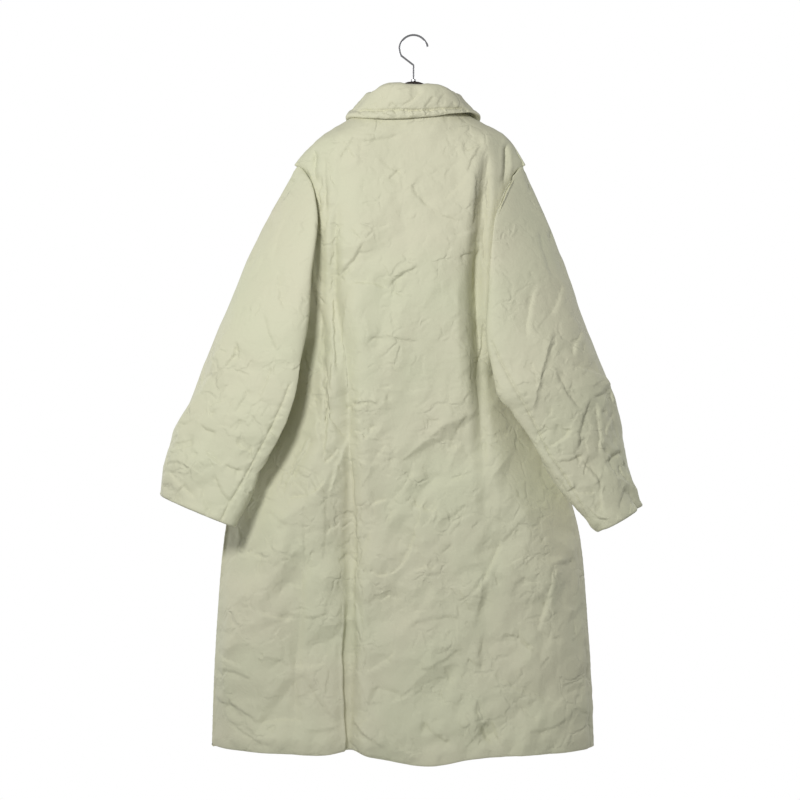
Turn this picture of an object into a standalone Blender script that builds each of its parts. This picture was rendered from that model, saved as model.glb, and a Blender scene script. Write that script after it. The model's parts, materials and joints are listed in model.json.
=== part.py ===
"""A lightly padded long coat on a hanger, built from the pieces that a maker would cut.

Metres, +Z up. +X is the wearer's left, +Y the coat's back and -Y its front.
The origin is the inside top of the wire hook, where a rail carries the hanger.
Every cloth piece is a wall lofted through sections: its outer points come from the
sizes and tables below, and its inner points lie one wall thickness further in.
"""
import math

import bmesh
import bpy
import numpy as np
from mathutils import Matrix

# ---- Driving dimensions ----------------------------------------------------------
WALL = 0.0045           # outer cloth, padding and inner cloth together
HEM_WALL = 0.0075       # hem and cuffs are turned up, and bag out
SEAM_GAP = 0.0003       # between two pieces along their seam
LEFT, RIGHT = 1, -1     # the wearer's sides

NECK_HALF = 0.072       # half the width of the neck opening
NECK_DEPTH = 0.070      # half the depth of the round that the collar's sections face along
NECK_Z = -0.122         # shoulder seam at the neck
NECK_DIP_BACK = 0.012   # how far the neckline dips below that, behind and in front
NECK_DIP_FRONT = 0.055
SHOULDER_ROUND = 0.050  # height over which the shoulders round off into the panels
SHOULDER_SLOPE = 0.55   # the neck side of the shoulder, carried on over the neckline
UNDERARM_Z = -0.540
ARMHOLE_HALF_DEPTH = 0.034
LAP = 0.030             # each front runs this far past the centre line
LAP_STEP = 0.036        # where the under front has stepped in below the other
LAP_GAP = 0.0008
# How the wall's edge leans at the armhole, between the shoulder tip, the middle and the
# underarm, and how much longer than the wall it is where the two pieces meet at an angle.
EDGE_TIP_SHARPNESS = 8
EDGE_UNDERARM_SHARPNESS = 12
EDGE_UNDERARM_OUT = 0.7
EDGE_UNDERARM_UP = 0.6
EDGE_MIDDLE_IN = 0.2
MITRE_MIDDLE = 0.3
MITRE_UNDERARM = 0.4

ARMHOLE_STEPS = 12      # rows of a panel between shoulder tip and underarm
SIDE_STEPS = 14         # rows between underarm and hem
SLEEVE_STEPS = 14
SIDE_SPAN = (0.0, 0.10, 0.24, 0.48, 0.76, 1.0)
FOLD_SPAN = (0.0, 0.15, 0.50, 0.85, 1.0)
HALF_SPAN = (0.0, 0.5, 1.0)
LAP_SPAN = (0.0, 0.33, 0.67, 1.0)


def table(columns, *rows):
    """A short table with named columns."""
    return {name: np.array([row[i] for row in rows], float)
            for i, name in enumerate(columns.split())}


# Shoulder seam: distance out from the centre, height.
SHOULDER = {
    LEFT: table("out z", (0.072, -0.122), (0.118, -0.146), (0.152, -0.167),
                (0.170, -0.182), (0.188, -0.200), (0.202, -0.219)),
    RIGHT: table("out z", (0.072, -0.122), (0.115, -0.146), (0.154, -0.167),
                 (0.167, -0.180), (0.179, -0.199), (0.190, -0.219)),
}
# Armhole seam, which lies at the bottom of the groove between panel and sleeve.
ARMHOLE = {
    LEFT: table("z out", (-0.219, 0.202), (-0.226, 0.186), (-0.243, 0.175), (-0.280, 0.173),
                (-0.380, 0.177), (-0.450, 0.188), (-0.500, 0.210), (-0.540, 0.245)),
    RIGHT: table("z out", (-0.219, 0.190), (-0.226, 0.177), (-0.243, 0.165), (-0.280, 0.158),
                 (-0.380, 0.144), (-0.450, 0.145), (-0.500, 0.157), (-0.540, 0.185)),
}
# Side seam: it swings forward under the sleeve, then drops almost straight to the hem.
SIDE = {
    LEFT: table("z out y", (-0.540, 0.245, 0.000), (-0.620, 0.271, -0.014), (-0.700, 0.291, -0.020),
                (-0.780, 0.310, -0.016), (-0.850, 0.323, -0.008), (-0.959, 0.332, 0.000),
                (-1.100, 0.340, 0.000), (-1.203, 0.343, 0.000)),
    RIGHT: table("z out y", (-0.540, 0.185, 0.000), (-0.620, 0.214, -0.014), (-0.700, 0.240, -0.020),
                 (-0.780, 0.266, -0.016), (-0.850, 0.285, -0.008), (-0.959, 0.294, 0.000),
                 (-1.100, 0.303, 0.000), (-1.203, 0.307, 0.000)),
}
# Where a panel starts to rise from its edge: at the armhole seam, further in under the
# sleeve, and at the side seam again below the cuff.
FLANK = {
    LEFT: table("z out", (-0.219, 0.202), (-0.243, 0.175), (-0.380, 0.177), (-0.450, 0.186),
                (-0.540, 0.206), (-0.620, 0.232), (-0.700, 0.262), (-0.780, 0.294),
                (-0.850, 0.318), (-0.959, 0.332), (-1.203, 0.343)),
    RIGHT: table("z out", (-0.219, 0.190), (-0.243, 0.165), (-0.380, 0.144), (-0.450, 0.144),
                 (-0.540, 0.159), (-0.620, 0.184), (-0.700, 0.216), (-0.780, 0.250),
                 (-0.850, 0.280), (-0.959, 0.294), (-1.203, 0.307)),
}
# How far the panels stand off the coat's middle plane, how wide their rise is, and the
# radius that they roll over at the side seam.
DEPTH = {
    "back": table(
        "z depth rise roll", (-0.120, 0.044, 0.040, 0.0), (-0.300, 0.057, 0.042, 0.0),
        (-0.420, 0.061, 0.060, 0.0), (-0.500, 0.062, 0.095, 0.002),
        (-0.535, 0.063, 0.100, 0.009), (-0.590, 0.064, 0.105, 0.011),
        (-0.760, 0.066, 0.100, 0.012), (-0.900, 0.068, 0.085, 0.030),
        (-1.240, 0.076, 0.085, 0.036)),
    "front": table(
        "z depth rise roll", (-0.120, 0.044, 0.040, 0.0), (-0.300, 0.053, 0.045, 0.0),
        (-0.500, 0.055, 0.070, 0.002), (-0.520, 0.055, 0.073, 0.008),
        (-0.540, 0.056, 0.075, 0.017), (-0.590, 0.056, 0.080, 0.011),
        (-0.760, 0.058, 0.080, 0.014), (-0.900, 0.060, 0.080, 0.028),
        (-1.240, 0.066, 0.080, 0.032)),
}
# Fold lines from top to hem: distance out, and the depth and half width of the trough.
FOLDS = {
    ("back", LEFT, "inner"): table(
        "z out depth width", (-0.170, 0.118, 0.0, 0.010), (-0.260, 0.126, 0.010, 0.011),
        (-0.420, 0.133, 0.015, 0.011), (-0.560, 0.112, 0.018, 0.012), (-0.800, 0.108, 0.019, 0.013),
        (-1.240, 0.108, 0.020, 0.014)),
    ("back", LEFT, "outer"): table(
        "z out depth width", (-0.170, 0.160, 0.0, 0.010), (-0.300, 0.154, 0.002, 0.010),
        (-0.420, 0.158, 0.010, 0.010), (-0.600, 0.164, 0.011, 0.011), (-0.760, 0.192, 0.007, 0.012),
        (-1.240, 0.202, 0.004, 0.014)),
    ("back", RIGHT, "inner"): table(
        "z out depth width", (-0.170, 0.118, 0.0, 0.010), (-0.240, 0.118, 0.009, 0.010),
        (-0.430, 0.105, 0.016, 0.012), (-0.600, 0.112, 0.013, 0.013), (-0.800, 0.120, 0.006, 0.016),
        (-1.000, 0.126, 0.003, 0.018), (-1.240, 0.130, 0.002, 0.020)),
    ("back", RIGHT, "outer"): table(
        "z out depth width", (-0.170, 0.152, 0.0, 0.010), (-0.300, 0.138, 0.0, 0.010),
        (-0.400, 0.124, 0.0, 0.010), (-0.510, 0.123, 0.0, 0.010), (-0.700, 0.178, 0.004, 0.014),
        (-0.900, 0.212, 0.006, 0.016), (-1.240, 0.222, 0.004, 0.016)),
    ("front", LEFT, "inner"): table(
        "z out depth width", (-0.170, 0.118, 0.0, 0.012), (-0.450, 0.116, 0.009, 0.014),
        (-0.700, 0.128, 0.012, 0.016), (-1.240, 0.150, 0.010, 0.018)),
    ("front", LEFT, "outer"): table(
        "z out depth width", (-0.170, 0.160, 0.0, 0.012), (-0.450, 0.156, 0.003, 0.012),
        (-0.700, 0.200, 0.005, 0.014), (-1.240, 0.236, 0.005, 0.016)),
    ("front", RIGHT, "inner"): table(
        "z out depth width", (-0.170, 0.118, 0.0, 0.012), (-0.400, 0.100, 0.006, 0.012),
        (-0.530, 0.102, 0.008, 0.014), (-0.700, 0.118, 0.011, 0.016), (-1.240, 0.138, 0.009, 0.018)),
    ("front", RIGHT, "outer"): table(
        "z out depth width", (-0.170, 0.152, 0.0, 0.012), (-0.300, 0.136, 0.0, 0.012),
        (-0.450, 0.120, 0.0, 0.012), (-0.530, 0.122, 0.0, 0.012), (-0.700, 0.172, 0.004, 0.014),
        (-1.240, 0.214, 0.005, 0.016)),
}
# Hem line: it drops towards the centre back.
HEM = {
    "back": table("x z", (-0.307, -1.203), (-0.200, -1.206), (-0.100, -1.212), (-0.023, -1.225),
                  (0.070, -1.211), (0.108, -1.201), (0.140, -1.209), (0.240, -1.204), (0.343, -1.203)),
    "front": table("x z", (-0.307, -1.203), (-0.130, -1.212), (0.000, -1.216), (0.130, -1.212),
                   (0.343, -1.203)),
}
# Sleeve sections from armhole to cuff. run: share of the way. Each section passes through
# its outer edge (out), its lower, inner edge (low), and its back and front bulge. over: how
# far its lower back leans over the back panel.
SLEEVE = {
    LEFT: table(
        "run out_x out_y out_z low_x low_y low_z back_x back_y front_x front_y over",
        (0.03, 0.2085, 0.000, -0.229, 0.2610, 0.003, -0.545, 0.166, 0.058, 0.194, -0.044, 0.018),
        (0.09, 0.2210, 0.000, -0.254, 0.2660, 0.014, -0.560, 0.168, 0.074, 0.222, -0.050, 0.022),
        (0.18, 0.2430, 0.003, -0.300, 0.2580, 0.033, -0.590, 0.190, 0.083, 0.256, -0.038, 0.027),
        (0.32, 0.2790, 0.008, -0.374, 0.2400, 0.050, -0.630, 0.222, 0.088, 0.268, -0.013, 0.030),
        (0.50, 0.3240, 0.018, -0.482, 0.2320, 0.062, -0.686, 0.266, 0.093, 0.276, -0.004, 0.024),
        (0.70, 0.3690, 0.030, -0.597, 0.2520, 0.070, -0.746, 0.310, 0.094, 0.312, 0.010, 0.010),
        (0.87, 0.4070, 0.041, -0.695, 0.2790, 0.078, -0.789, 0.345, 0.093, 0.345, 0.029, 0.002),
        (1.00, 0.4270, 0.050, -0.774, 0.3010, 0.084, -0.824, 0.364, 0.096, 0.364, 0.042, 0.0)),
    RIGHT: table(
        "run out_x out_y out_z low_x low_y low_z back_x back_y front_x front_y over",
        (0.03, 0.1965, 0.000, -0.229, 0.1980, 0.004, -0.546, 0.130, 0.058, 0.160, -0.045, 0.015),
        (0.09, 0.2060, 0.000, -0.254, 0.2070, 0.014, -0.560, 0.124, 0.074, 0.190, -0.050, 0.024),
        (0.18, 0.2230, 0.003, -0.300, 0.2020, 0.033, -0.590, 0.138, 0.083, 0.212, -0.038, 0.024),
        (0.32, 0.2530, 0.008, -0.373, 0.1820, 0.050, -0.622, 0.176, 0.088, 0.222, -0.014, 0.022),
        (0.50, 0.2870, 0.018, -0.480, 0.1880, 0.062, -0.672, 0.224, 0.094, 0.232, -0.002, 0.018),
        (0.70, 0.3270, 0.030, -0.585, 0.2220, 0.070, -0.736, 0.268, 0.100, 0.270, 0.006, 0.010),
        (0.87, 0.3590, 0.041, -0.689, 0.2540, 0.077, -0.788, 0.305, 0.103, 0.305, 0.018, 0.002),
        (1.00, 0.3830, 0.050, -0.793, 0.3050, 0.083, -0.834, 0.344, 0.107, 0.344, 0.028, 0.0)),
}
SLEEVE_FULLNESS = 0.85  # below 1 the sections are fuller than an ellipse
SLEEVE_CROWDING = 1.35  # above 1 the sections lie closer together near the armhole

# Collar sections round the neck. turn: angle from the centre back. stand: its height.
# fall_out, fall_end: where the turned-down edge ends, from the foot of the stand.
COLLAR = table(
    "turn stand fall_out fall_end",
    (0, 0.042, 0.0150, -0.005), (40, 0.036, 0.0190, -0.004), (68, 0.022, 0.0320, -0.009),
    (90, 0.010, 0.0455, -0.015), (120, 0.009, 0.0430, -0.025), (150, 0.014, 0.0270, -0.045),
    (180, 0.016, 0.0190, -0.062))
COLLAR_STATIONS = 30
COLLAR_ENDS = 175       # the two collar ends stop short of meeting at the centre front
COLLAR_ROLL = 0.0062    # radius of the roll between stand and fall
COLLAR_STAND_HALF = 0.00225  # half of the stand's and of the fall's thickness
COLLAR_FALL_HALF = 0.0036
COLLAR_EDGE_BAND = 0.016     # the topstitched groove lies this far from the edge
COLLAR_GROOVE = 0.0018
COLLAR_LIP = 0.006           # from the groove, or from the edge, to the full thickness
COLLAR_SET_BACK = 0.0005     # the stand leans in by this much

BUTTON_DIAMETER = 0.025
BUTTON_THICKNESS = 0.0042
BUTTON_HEIGHTS = (-0.235, -0.385, -0.535, -0.685, -0.835)
# Half of a button's section, in shares of its radius and thickness: dished, with a raised rim.
BUTTON_SECTION = table("out high", (0.0, 0.55), (0.62, 0.55), (0.74, 0.95), (0.90, 1.0),
                       (1.0, 0.72), (1.0, 0.30), (0.80, 0.0), (0.0, 0.0))
TURNED_STEPS = 20       # sides of a turned piece

HANGER_THICKNESS = 0.012
HANGER_HALF = 0.156     # half the span of its two arms
HANGER_CROWN = table("out z", (0.000, -0.0775), (0.012, -0.0790), (0.023, -0.0850),
                     (0.040, -0.1050), (0.060, -0.1270), (0.074, -0.1325))
HANGER_ARM_HEIGHT = table("out height", (0.000, 0.052), (0.060, 0.030), (0.130, 0.024),
                          (0.156, 0.016))
HANGER_GAP = 0.0014
HANGER_EDGE = 0.0020    # radius of its rounded edges

WIRE = 0.0034           # hook wire
HOOK_INSIDE = 0.0222    # inside radius of the hook
HOOK_FOOT_Z = -0.0772
HOOK_BEND_Z = -0.0500
HOOK_TIP_ANGLE = 10     # degrees above the level of the hook's centre
HOOK_LEAVE_ANGLE = 207  # where the arc runs out towards the stem
HOOK_ARC_POINTS = 22
HOOK_TIP_SWELL = (1.35, 1.25)  # the wire's last two points are this much thicker
FERRULE_DIAMETER = 0.0095
FERRULE_HEIGHT = 0.0032
FERRULE_BORE = 0.0041   # it is loose on the wire
# Its section, from the bore outwards, in shares of the wall and of the height.
FERRULE_SECTION = table("out high", (0.0, 0.0), (1.0, 0.0), (1.0, 0.7), (0.65, 1.0), (0.0, 1.0))

COLOURS = {
    "cloth": ((0.50, 0.49, 0.38, 1.0), 0.75, 0.0),
    "button": ((0.30, 0.28, 0.20, 1.0), 0.45, 0.0),
    "hanger": ((0.030, 0.022, 0.018, 1.0), 0.35, 0.0),
    "hook": ((0.70, 0.70, 0.70, 1.0), 0.15, 1.0),
}


# ---- Reading the tables ----------------------------------------------------------
def read(source, key, column, at):
    """A table's column at any value of its key, on a curve that never overshoots a row."""
    order = np.argsort(source[key])
    xs, ys = source[key][order], source[column][order]
    step = np.diff(xs)
    rise = np.diff(ys) / step
    slope = np.zeros_like(ys)
    slope[0], slope[-1] = rise[0], rise[-1]
    for i in range(1, len(ys) - 1):
        if rise[i - 1] * rise[i] > 0:
            slope[i] = 2 * rise[i - 1] * rise[i] / (rise[i - 1] + rise[i])
    at = min(max(at, xs[0]), xs[-1])
    i = int(min(max(np.searchsorted(xs, at, side="right") - 1, 0), len(step) - 1))
    t = (at - xs[i]) / step[i]
    return float((1 + 2 * t) * (1 - t) ** 2 * ys[i] + t * (1 - t) ** 2 * step[i] * slope[i]
                 + t * t * (3 - 2 * t) * ys[i + 1] + t * t * (t - 1) * step[i] * slope[i + 1])


def unit(v):
    return v / np.linalg.norm(v)


def rounded(t):
    """Rise from 0 to 1 along a quarter circle."""
    t = min(max(t, 0.0), 1.0)
    return math.sqrt(1 - (1 - t) ** 2)


def eased(t):
    """Rise from 0 to 1 that starts and ends level."""
    t = min(max(t, 0.0), 1.0)
    return t * t * (3 - 2 * t)


# ---- The body's lines ------------------------------------------------------------
def shoulder_z(side, out):
    """Height of the shoulder ridge, carried on in a straight line over the neck."""
    if out < NECK_HALF:
        return NECK_Z + SHOULDER_SLOPE * (NECK_HALF - out)
    return read(SHOULDER[side], "out", "z", out)


def shoulder_normal(side, out):
    """Up and out from the shoulder seam."""
    d = 0.004
    tip = float(SHOULDER[side]["out"][-1])
    out = min(max(out, NECK_HALF + d), tip - d)
    slope = (shoulder_z(side, out + d) - shoulder_z(side, out - d)) / (2 * d)
    return unit(np.array([-slope * side, 0.0, 1.0]))


def armhole_point(side, turn):
    """Point of the armhole seam. turn: 0 at the shoulder tip, 90 back, 180 underarm, 270 front."""
    a = math.radians(turn)
    top = float(ARMHOLE[side]["z"][0])
    z = top + (UNDERARM_Z - top) * (1 - math.cos(a)) / 2
    return np.array([side * read(ARMHOLE[side], "z", "out", z), ARMHOLE_HALF_DEPTH * math.sin(a), z])


def armhole_inward(side, turn):
    """Direction and length of the wall's edge there, shared by panel and sleeve."""
    a = math.radians(turn)
    c, s = math.cos(a), math.sin(a)
    tip = shoulder_normal(side, 1.0)
    mitre = 1.0 + MITRE_MIDDLE * abs(s)
    middle = -side * EDGE_MIDDLE_IN * s * s
    if c > 0:
        n = np.array([tip[0] * c ** EDGE_TIP_SHARPNESS + middle, s, tip[2] * c])
    else:
        underarm = side * EDGE_UNDERARM_OUT * c ** EDGE_UNDERARM_SHARPNESS
        n = np.array([underarm + middle, s, EDGE_UNDERARM_UP * c])
        mitre += MITRE_UNDERARM * c * c
    return -unit(n) * WALL * mitre


def side_point(side, z):
    """Point of the side seam at a height."""
    return np.array([side * read(SIDE[side], "z", "out", z), read(SIDE[side], "z", "y", z), z])


def side_inward(side, z):
    """Direction and length of the wall's edge at the side seam."""
    d = 0.01
    lean = (side_point(side, z + d)[0] - side_point(side, z - d)[0]) / (2 * d)
    return -unit(np.array([1.0 * side, 0.0, -lean * side])) * WALL


def edge_rows(side):
    """Points and inward vectors down a panel's outer edge: armhole seam, then side seam."""
    points, inwards = [], []
    for i in range(ARMHOLE_STEPS + 1):
        turn = 180 * i / ARMHOLE_STEPS
        points.append(armhole_point(side, turn))
        inwards.append(armhole_inward(side, turn))
    bottom = float(SIDE[side]["z"][-1])
    for i in range(1, SIDE_STEPS + 1):
        z = UNDERARM_Z + (bottom - UNDERARM_Z) * i / SIDE_STEPS
        points.append(side_point(side, z))
        inwards.append(side_inward(side, z))
    return points, inwards


def neck_z(face, x):
    """Height of the neckline."""
    dip = NECK_DIP_BACK if face == "back" else NECK_DIP_FRONT
    return NECK_Z - dip * max(0.0, 1 - (x / NECK_HALF) ** 2)


def top_z(face, x):
    """Upper edge of a panel: shoulder seam, then neckline."""
    if abs(x) <= NECK_HALF:
        return neck_z(face, x)
    return shoulder_z(LEFT if x > 0 else RIGHT, abs(x))


def face_sign(face):
    return 1 if face == "back" else -1


def stand_off(face, x, z):
    """Distance of a panel from the middle plane, before edges and folds."""
    ridge = shoulder_z(LEFT if x > 0 else RIGHT, abs(x))
    return read(DEPTH[face], "z", "depth", z) * rounded((ridge - z) / SHOULDER_ROUND)


def edge_y(face, edge):
    """A panel's edge point: the armhole has a back and a front, the side seam is one line."""
    return face_sign(face) * edge[1] if edge[2] >= UNDERARM_Z else edge[1]


def panel_y(face, x, z, edge):
    """Outer surface of a panel, with its edge point at the same row given."""
    side = LEFT if edge[0] > 0 else RIGHT
    depth = stand_off(face, x, z)
    roll = max(read(DEPTH[face], "z", "roll", edge[2]), 1e-6)
    rise = read(DEPTH[face], "z", "rise", edge[2])
    low = face_sign(face) * edge_y(face, edge) + roll * rounded(abs(edge[0] - x) / roll)
    in_from_flank = read(FLANK[side], "z", "out", edge[2]) - abs(x)
    y = min(low + (depth - low) * eased(in_from_flank / rise), depth)
    for name in ("inner", "outer"):
        fold = FOLDS[(face, side, name)]
        reach = (abs(x) - read(fold, "z", "out", z)) / read(fold, "z", "width", z)
        y -= read(fold, "z", "depth", z) * math.exp(-reach * reach)
    return face_sign(face) * y


def column_lines(side):
    """A panel half's columns from its outer edge to the neck line: (line, next line, share)."""
    lines = []
    for first, second, span in (("edge", "outer", SIDE_SPAN), ("outer", "inner", FOLD_SPAN),
                                ("inner", "neck", FOLD_SPAN)):
        lines += [(side, first, second, share) for share in span[:-1]]
    return lines


def line_x(face, side, name, z, row, edge):
    """Place of one of the lines that the columns follow."""
    if name == "edge":
        return edge[0]
    if name == "neck":
        return side * NECK_HALF
    if name == "step":
        return side * LAP_STEP
    if name == "lap":
        return -side * LAP
    if name == "centre":
        return 0.0
    fold = FOLDS[(face, side, name)]
    return side * (float(fold["out"][0]) if row == 0 else read(fold, "z", "out", z))


def panel_grid(face, columns):
    """Outer points of a panel, row by row from shoulder to hem."""
    edges = {side: edge_rows(side)[0] for side in (LEFT, RIGHT)}
    rows = len(edges[LEFT])
    grid = np.zeros((rows, len(columns), 3))
    for c, (side, first, second, share) in enumerate(columns):
        edge = edges[side]
        drop = edge[0][2] - edge[-1][2]

        def x_at(z, row):
            a = line_x(face, side, first, z, row, edge[row])
            b = line_x(face, side, second, z, row, edge[row])
            return a + (b - a) * share

        top_x, hem_x = x_at(0.0, 0), x_at(edge[-1][2], rows - 1)
        top, hem = top_z(face, top_x), read(HEM[face], "x", "z", hem_x)
        for r in range(rows):
            if first == "edge" and share == 0:
                grid[r, c] = edge[r][0], edge_y(face, edge[r]), edge[r][2]
                continue
            z = top + (hem - top) * (edge[0][2] - edge[r][2]) / drop
            x = x_at(z, r)
            grid[r, c] = x, panel_y(face, x, z, edge[r]), z
    return grid


# ---- Making walls ----------------------------------------------------------------
def grid_normals(grid, outward, round_columns=False):
    """Unit normals of a grid of points, on the side that `outward` points to."""
    if round_columns:
        across = np.roll(grid, -1, axis=1) - np.roll(grid, 1, axis=1)
    else:
        across = np.gradient(grid, axis=1)
    normals = np.cross(across, np.gradient(grid, axis=0))
    length = np.linalg.norm(normals, axis=2, keepdims=True)
    normals = normals / np.maximum(length, 1e-12)
    if np.sum(normals * outward) < 0:
        normals = -normals
    return normals


def loft_wall(name, outer, inward, material, round_columns=False):
    """A closed wall between a grid of outer points and the points `inward` of them."""
    rows, cols = outer.shape[:2]
    points = np.concatenate([outer.reshape(-1, 3), (outer + inward).reshape(-1, 3)])
    layer = rows * cols

    def at(r, c, inner=0):
        return inner * layer + r * cols + c % cols

    spans = cols if round_columns else cols - 1
    faces = []
    for r in range(rows - 1):
        for c in range(spans):
            faces.append((at(r, c), at(r + 1, c), at(r + 1, c + 1), at(r, c + 1)))
            faces.append((at(r, c, 1), at(r, c + 1, 1), at(r + 1, c + 1, 1), at(r + 1, c, 1)))
    for c in range(spans):
        # Rims that face each other across a seam are split along the same diagonal.
        rim = [at(0, c), at(0, c + 1), at(0, c + 1, 1), at(0, c, 1)]
        if round_columns and c >= spans / 2:
            rim = rim[1:] + rim[:1]
        faces += [(rim[0], rim[1], rim[2]), (rim[0], rim[2], rim[3])]
        faces.append((at(rows - 1, c), at(rows - 1, c, 1), at(rows - 1, c + 1, 1), at(rows - 1, c + 1)))
    if not round_columns:
        for r in range(rows - 1):
            faces.append((at(r, 0), at(r, 0, 1), at(r + 1, 0, 1)))
            faces.append((at(r, 0), at(r + 1, 0, 1), at(r + 1, 0)))
            faces.append((at(r, cols - 1), at(r + 1, cols - 1, 1), at(r, cols - 1, 1)))
            faces.append((at(r, cols - 1), at(r + 1, cols - 1), at(r + 1, cols - 1, 1)))
    mesh = bpy.data.meshes.new(name)
    mesh.from_pydata(points.tolist(), [], faces)
    return finish_mesh(name, mesh, material)


def finish_mesh(name, mesh, material):
    """Faces turned outwards, shaded smooth, linked to the coat's collection."""
    bm = bmesh.new()
    bm.from_mesh(mesh)
    if bm.calc_volume(signed=True) < 0:
        bmesh.ops.reverse_faces(bm, faces=bm.faces)
    bm.to_mesh(mesh)
    bm.free()
    mesh.shade_smooth()
    mesh.set_sharp_from_angle(angle=math.radians(50))
    mesh.materials.append(material)
    obj = bpy.data.objects.new(name, mesh)
    COAT.objects.link(obj)
    return obj


def pull_in(line, neighbour):
    """Moves an edge half a seam gap back into its own piece."""
    step = neighbour - line
    line += step / np.linalg.norm(step, axis=-1, keepdims=True) * SEAM_GAP / 2


# ---- The pieces ------------------------------------------------------------------
def make_panel(name, face, columns, material, left_edge, right_edge, under=False):
    """Back or front panel: a wall through its grid, its seams cut to their shared edges."""
    grid = panel_grid(face, columns)
    thick = np.full(grid.shape[0], WALL)
    thick[-1] = HEM_WALL
    if under:
        shift = np.clip((grid[:, :, 0] + NECK_HALF) / (NECK_HALF - LAP_STEP), 0, 1)
        grid[:, :, 1] += shift * (thick[:, None] + LAP_GAP)
    outward = np.array([0.0, face_sign(face), 0.0])
    inward = -grid_normals(grid, outward) * thick[:, None, None]
    for c, x in enumerate(grid[0, :, 0]):
        if abs(x) < NECK_HALF - 1e-6:
            inward[0, c] = unit(inward[0, c] * (1, 1, 0)) * WALL
        else:
            inward[0, c] = -shoulder_normal(LEFT if x > 0 else RIGHT, abs(x)) * WALL
    for column, near, side in ((0, 1, left_edge), (-1, -2, right_edge)):
        if side is not None:
            shared = np.array(edge_rows(side)[1])
            shared[:ARMHOLE_STEPS + 1, 1] *= face_sign(face)
            inward[:, column] = shared
            pull_in(grid[:, column], grid[:, near].copy())
    pull_in(grid[0], grid[1].copy())
    loft_wall(name, grid, inward, material)
    return grid[0]


def make_body(material):
    """Back panel and the two fronts, of which the left one laps over the right one."""
    back = column_lines(LEFT)
    back += [(LEFT, "neck", "centre", s) for s in LAP_SPAN]
    back += [(RIGHT, "neck", "centre", s) for s in LAP_SPAN[-2::-1]]
    back += reversed(column_lines(RIGHT))
    tops = [make_panel("back", "back", back, material, LEFT, RIGHT)]
    for side, name, under in ((LEFT, "front_left", False), (RIGHT, "front_right", True)):
        half = column_lines(side)
        half += [(side, "neck", "step", s) for s in HALF_SPAN[:-1]]
        half += [(side, "step", "lap", s) for s in LAP_SPAN]
        tops.append(make_panel(name, "front", half, material, side, None, under))
    return tops


def make_sleeve(name, side, material):
    """One-piece sleeve: sections fan out from the tall armhole to the cuff."""
    source = SLEEVE[side]
    turns = [180 * i / ARMHOLE_STEPS for i in range(2 * ARMHOLE_STEPS)]
    rings = [[armhole_point(side, t) for t in turns]]
    first = float(source["run"][0])
    for i in range(SLEEVE_STEPS):
        run = first + (1 - first) * (i / (SLEEVE_STEPS - 1)) ** SLEEVE_CROWDING
        v = {key: read(source, "run", key, run) for key in source if key != "run"}
        top = np.array([side * v["out_x"], v["out_y"], v["out_z"]])
        low = np.array([side * v["low_x"], v["low_y"], v["low_z"]])
        mid = (top + low) / 2
        back = np.array([side * v["back_x"], v["back_y"], mid[2]])
        front = np.array([side * v["front_x"], v["front_y"], mid[2]])
        ring = []
        for t in turns:
            c, s = math.cos(math.radians(t)), math.sin(math.radians(t))
            along = math.copysign(abs(c) ** SLEEVE_FULLNESS, c)
            out = abs(s) ** SLEEVE_FULLNESS
            point = mid + (top - mid) * along + ((back if s > 0 else front) - mid) * out
            if c < 0 < s:
                point[0] -= side * v["over"] * (2 * c * s) ** 2
            ring.append(point)
        rings.append(ring)
    grid = np.array(rings)
    centres = grid.mean(axis=1, keepdims=True)
    thick = np.full(len(rings), WALL)
    thick[-1] = HEM_WALL
    inward = -grid_normals(grid, grid - centres, True) * thick[:, None, None]
    inward[0] = [armhole_inward(side, t) for t in turns]
    pull_in(grid[0], grid[1].copy())
    loft_wall(name, grid, inward, material, round_columns=True)


def collar_section(turn):
    """Closed outline of the collar at one station, as (outwards, up) from the stand's foot."""
    stand = read(COLLAR, "turn", "stand", turn)
    end = np.array([read(COLLAR, "turn", "fall_out", turn), read(COLLAR, "turn", "fall_end", turn)])
    middle = [(0.0, 0.0, COLLAR_STAND_HALF), (-COLLAR_SET_BACK, stand / 2, COLLAR_STAND_HALF),
              (-COLLAR_SET_BACK, stand, COLLAR_STAND_HALF)]
    for a in (135, 90, 45):
        middle.append((COLLAR_ROLL * (1 + math.cos(math.radians(a))),
                       stand + COLLAR_ROLL * math.sin(math.radians(a)), COLLAR_FALL_HALF * 0.85))
    start = np.array([2 * COLLAR_ROLL, stand])
    length = np.linalg.norm(end - start)
    band = max(1 - COLLAR_EDGE_BAND / length, 0.2)
    lip = COLLAR_LIP / length
    for share, fullness in ((0.0, 1.0), (band - lip, 1.0), (band, 1.0), (band + lip, 1.1),
                            (1 - lip, 1.05), (1.0, 0.45)):
        p = start + (end - start) * share
        middle.append((p[0], p[1], COLLAR_FALL_HALF * fullness))
    groove = len(middle) - 4
    line = np.array(middle)
    tangent = np.gradient(line[:, :2], axis=0)
    tangent /= np.linalg.norm(tangent, axis=1, keepdims=True)
    normal = np.stack([-tangent[:, 1], tangent[:, 0]], axis=1)
    outside = line[:, :2] + normal * line[:, 2:]
    outside[groove] -= normal[groove] * COLLAR_GROOVE
    inside = line[:, :2] - normal * line[:, 2:]
    return np.concatenate([outside, inside[::-1]])


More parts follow.
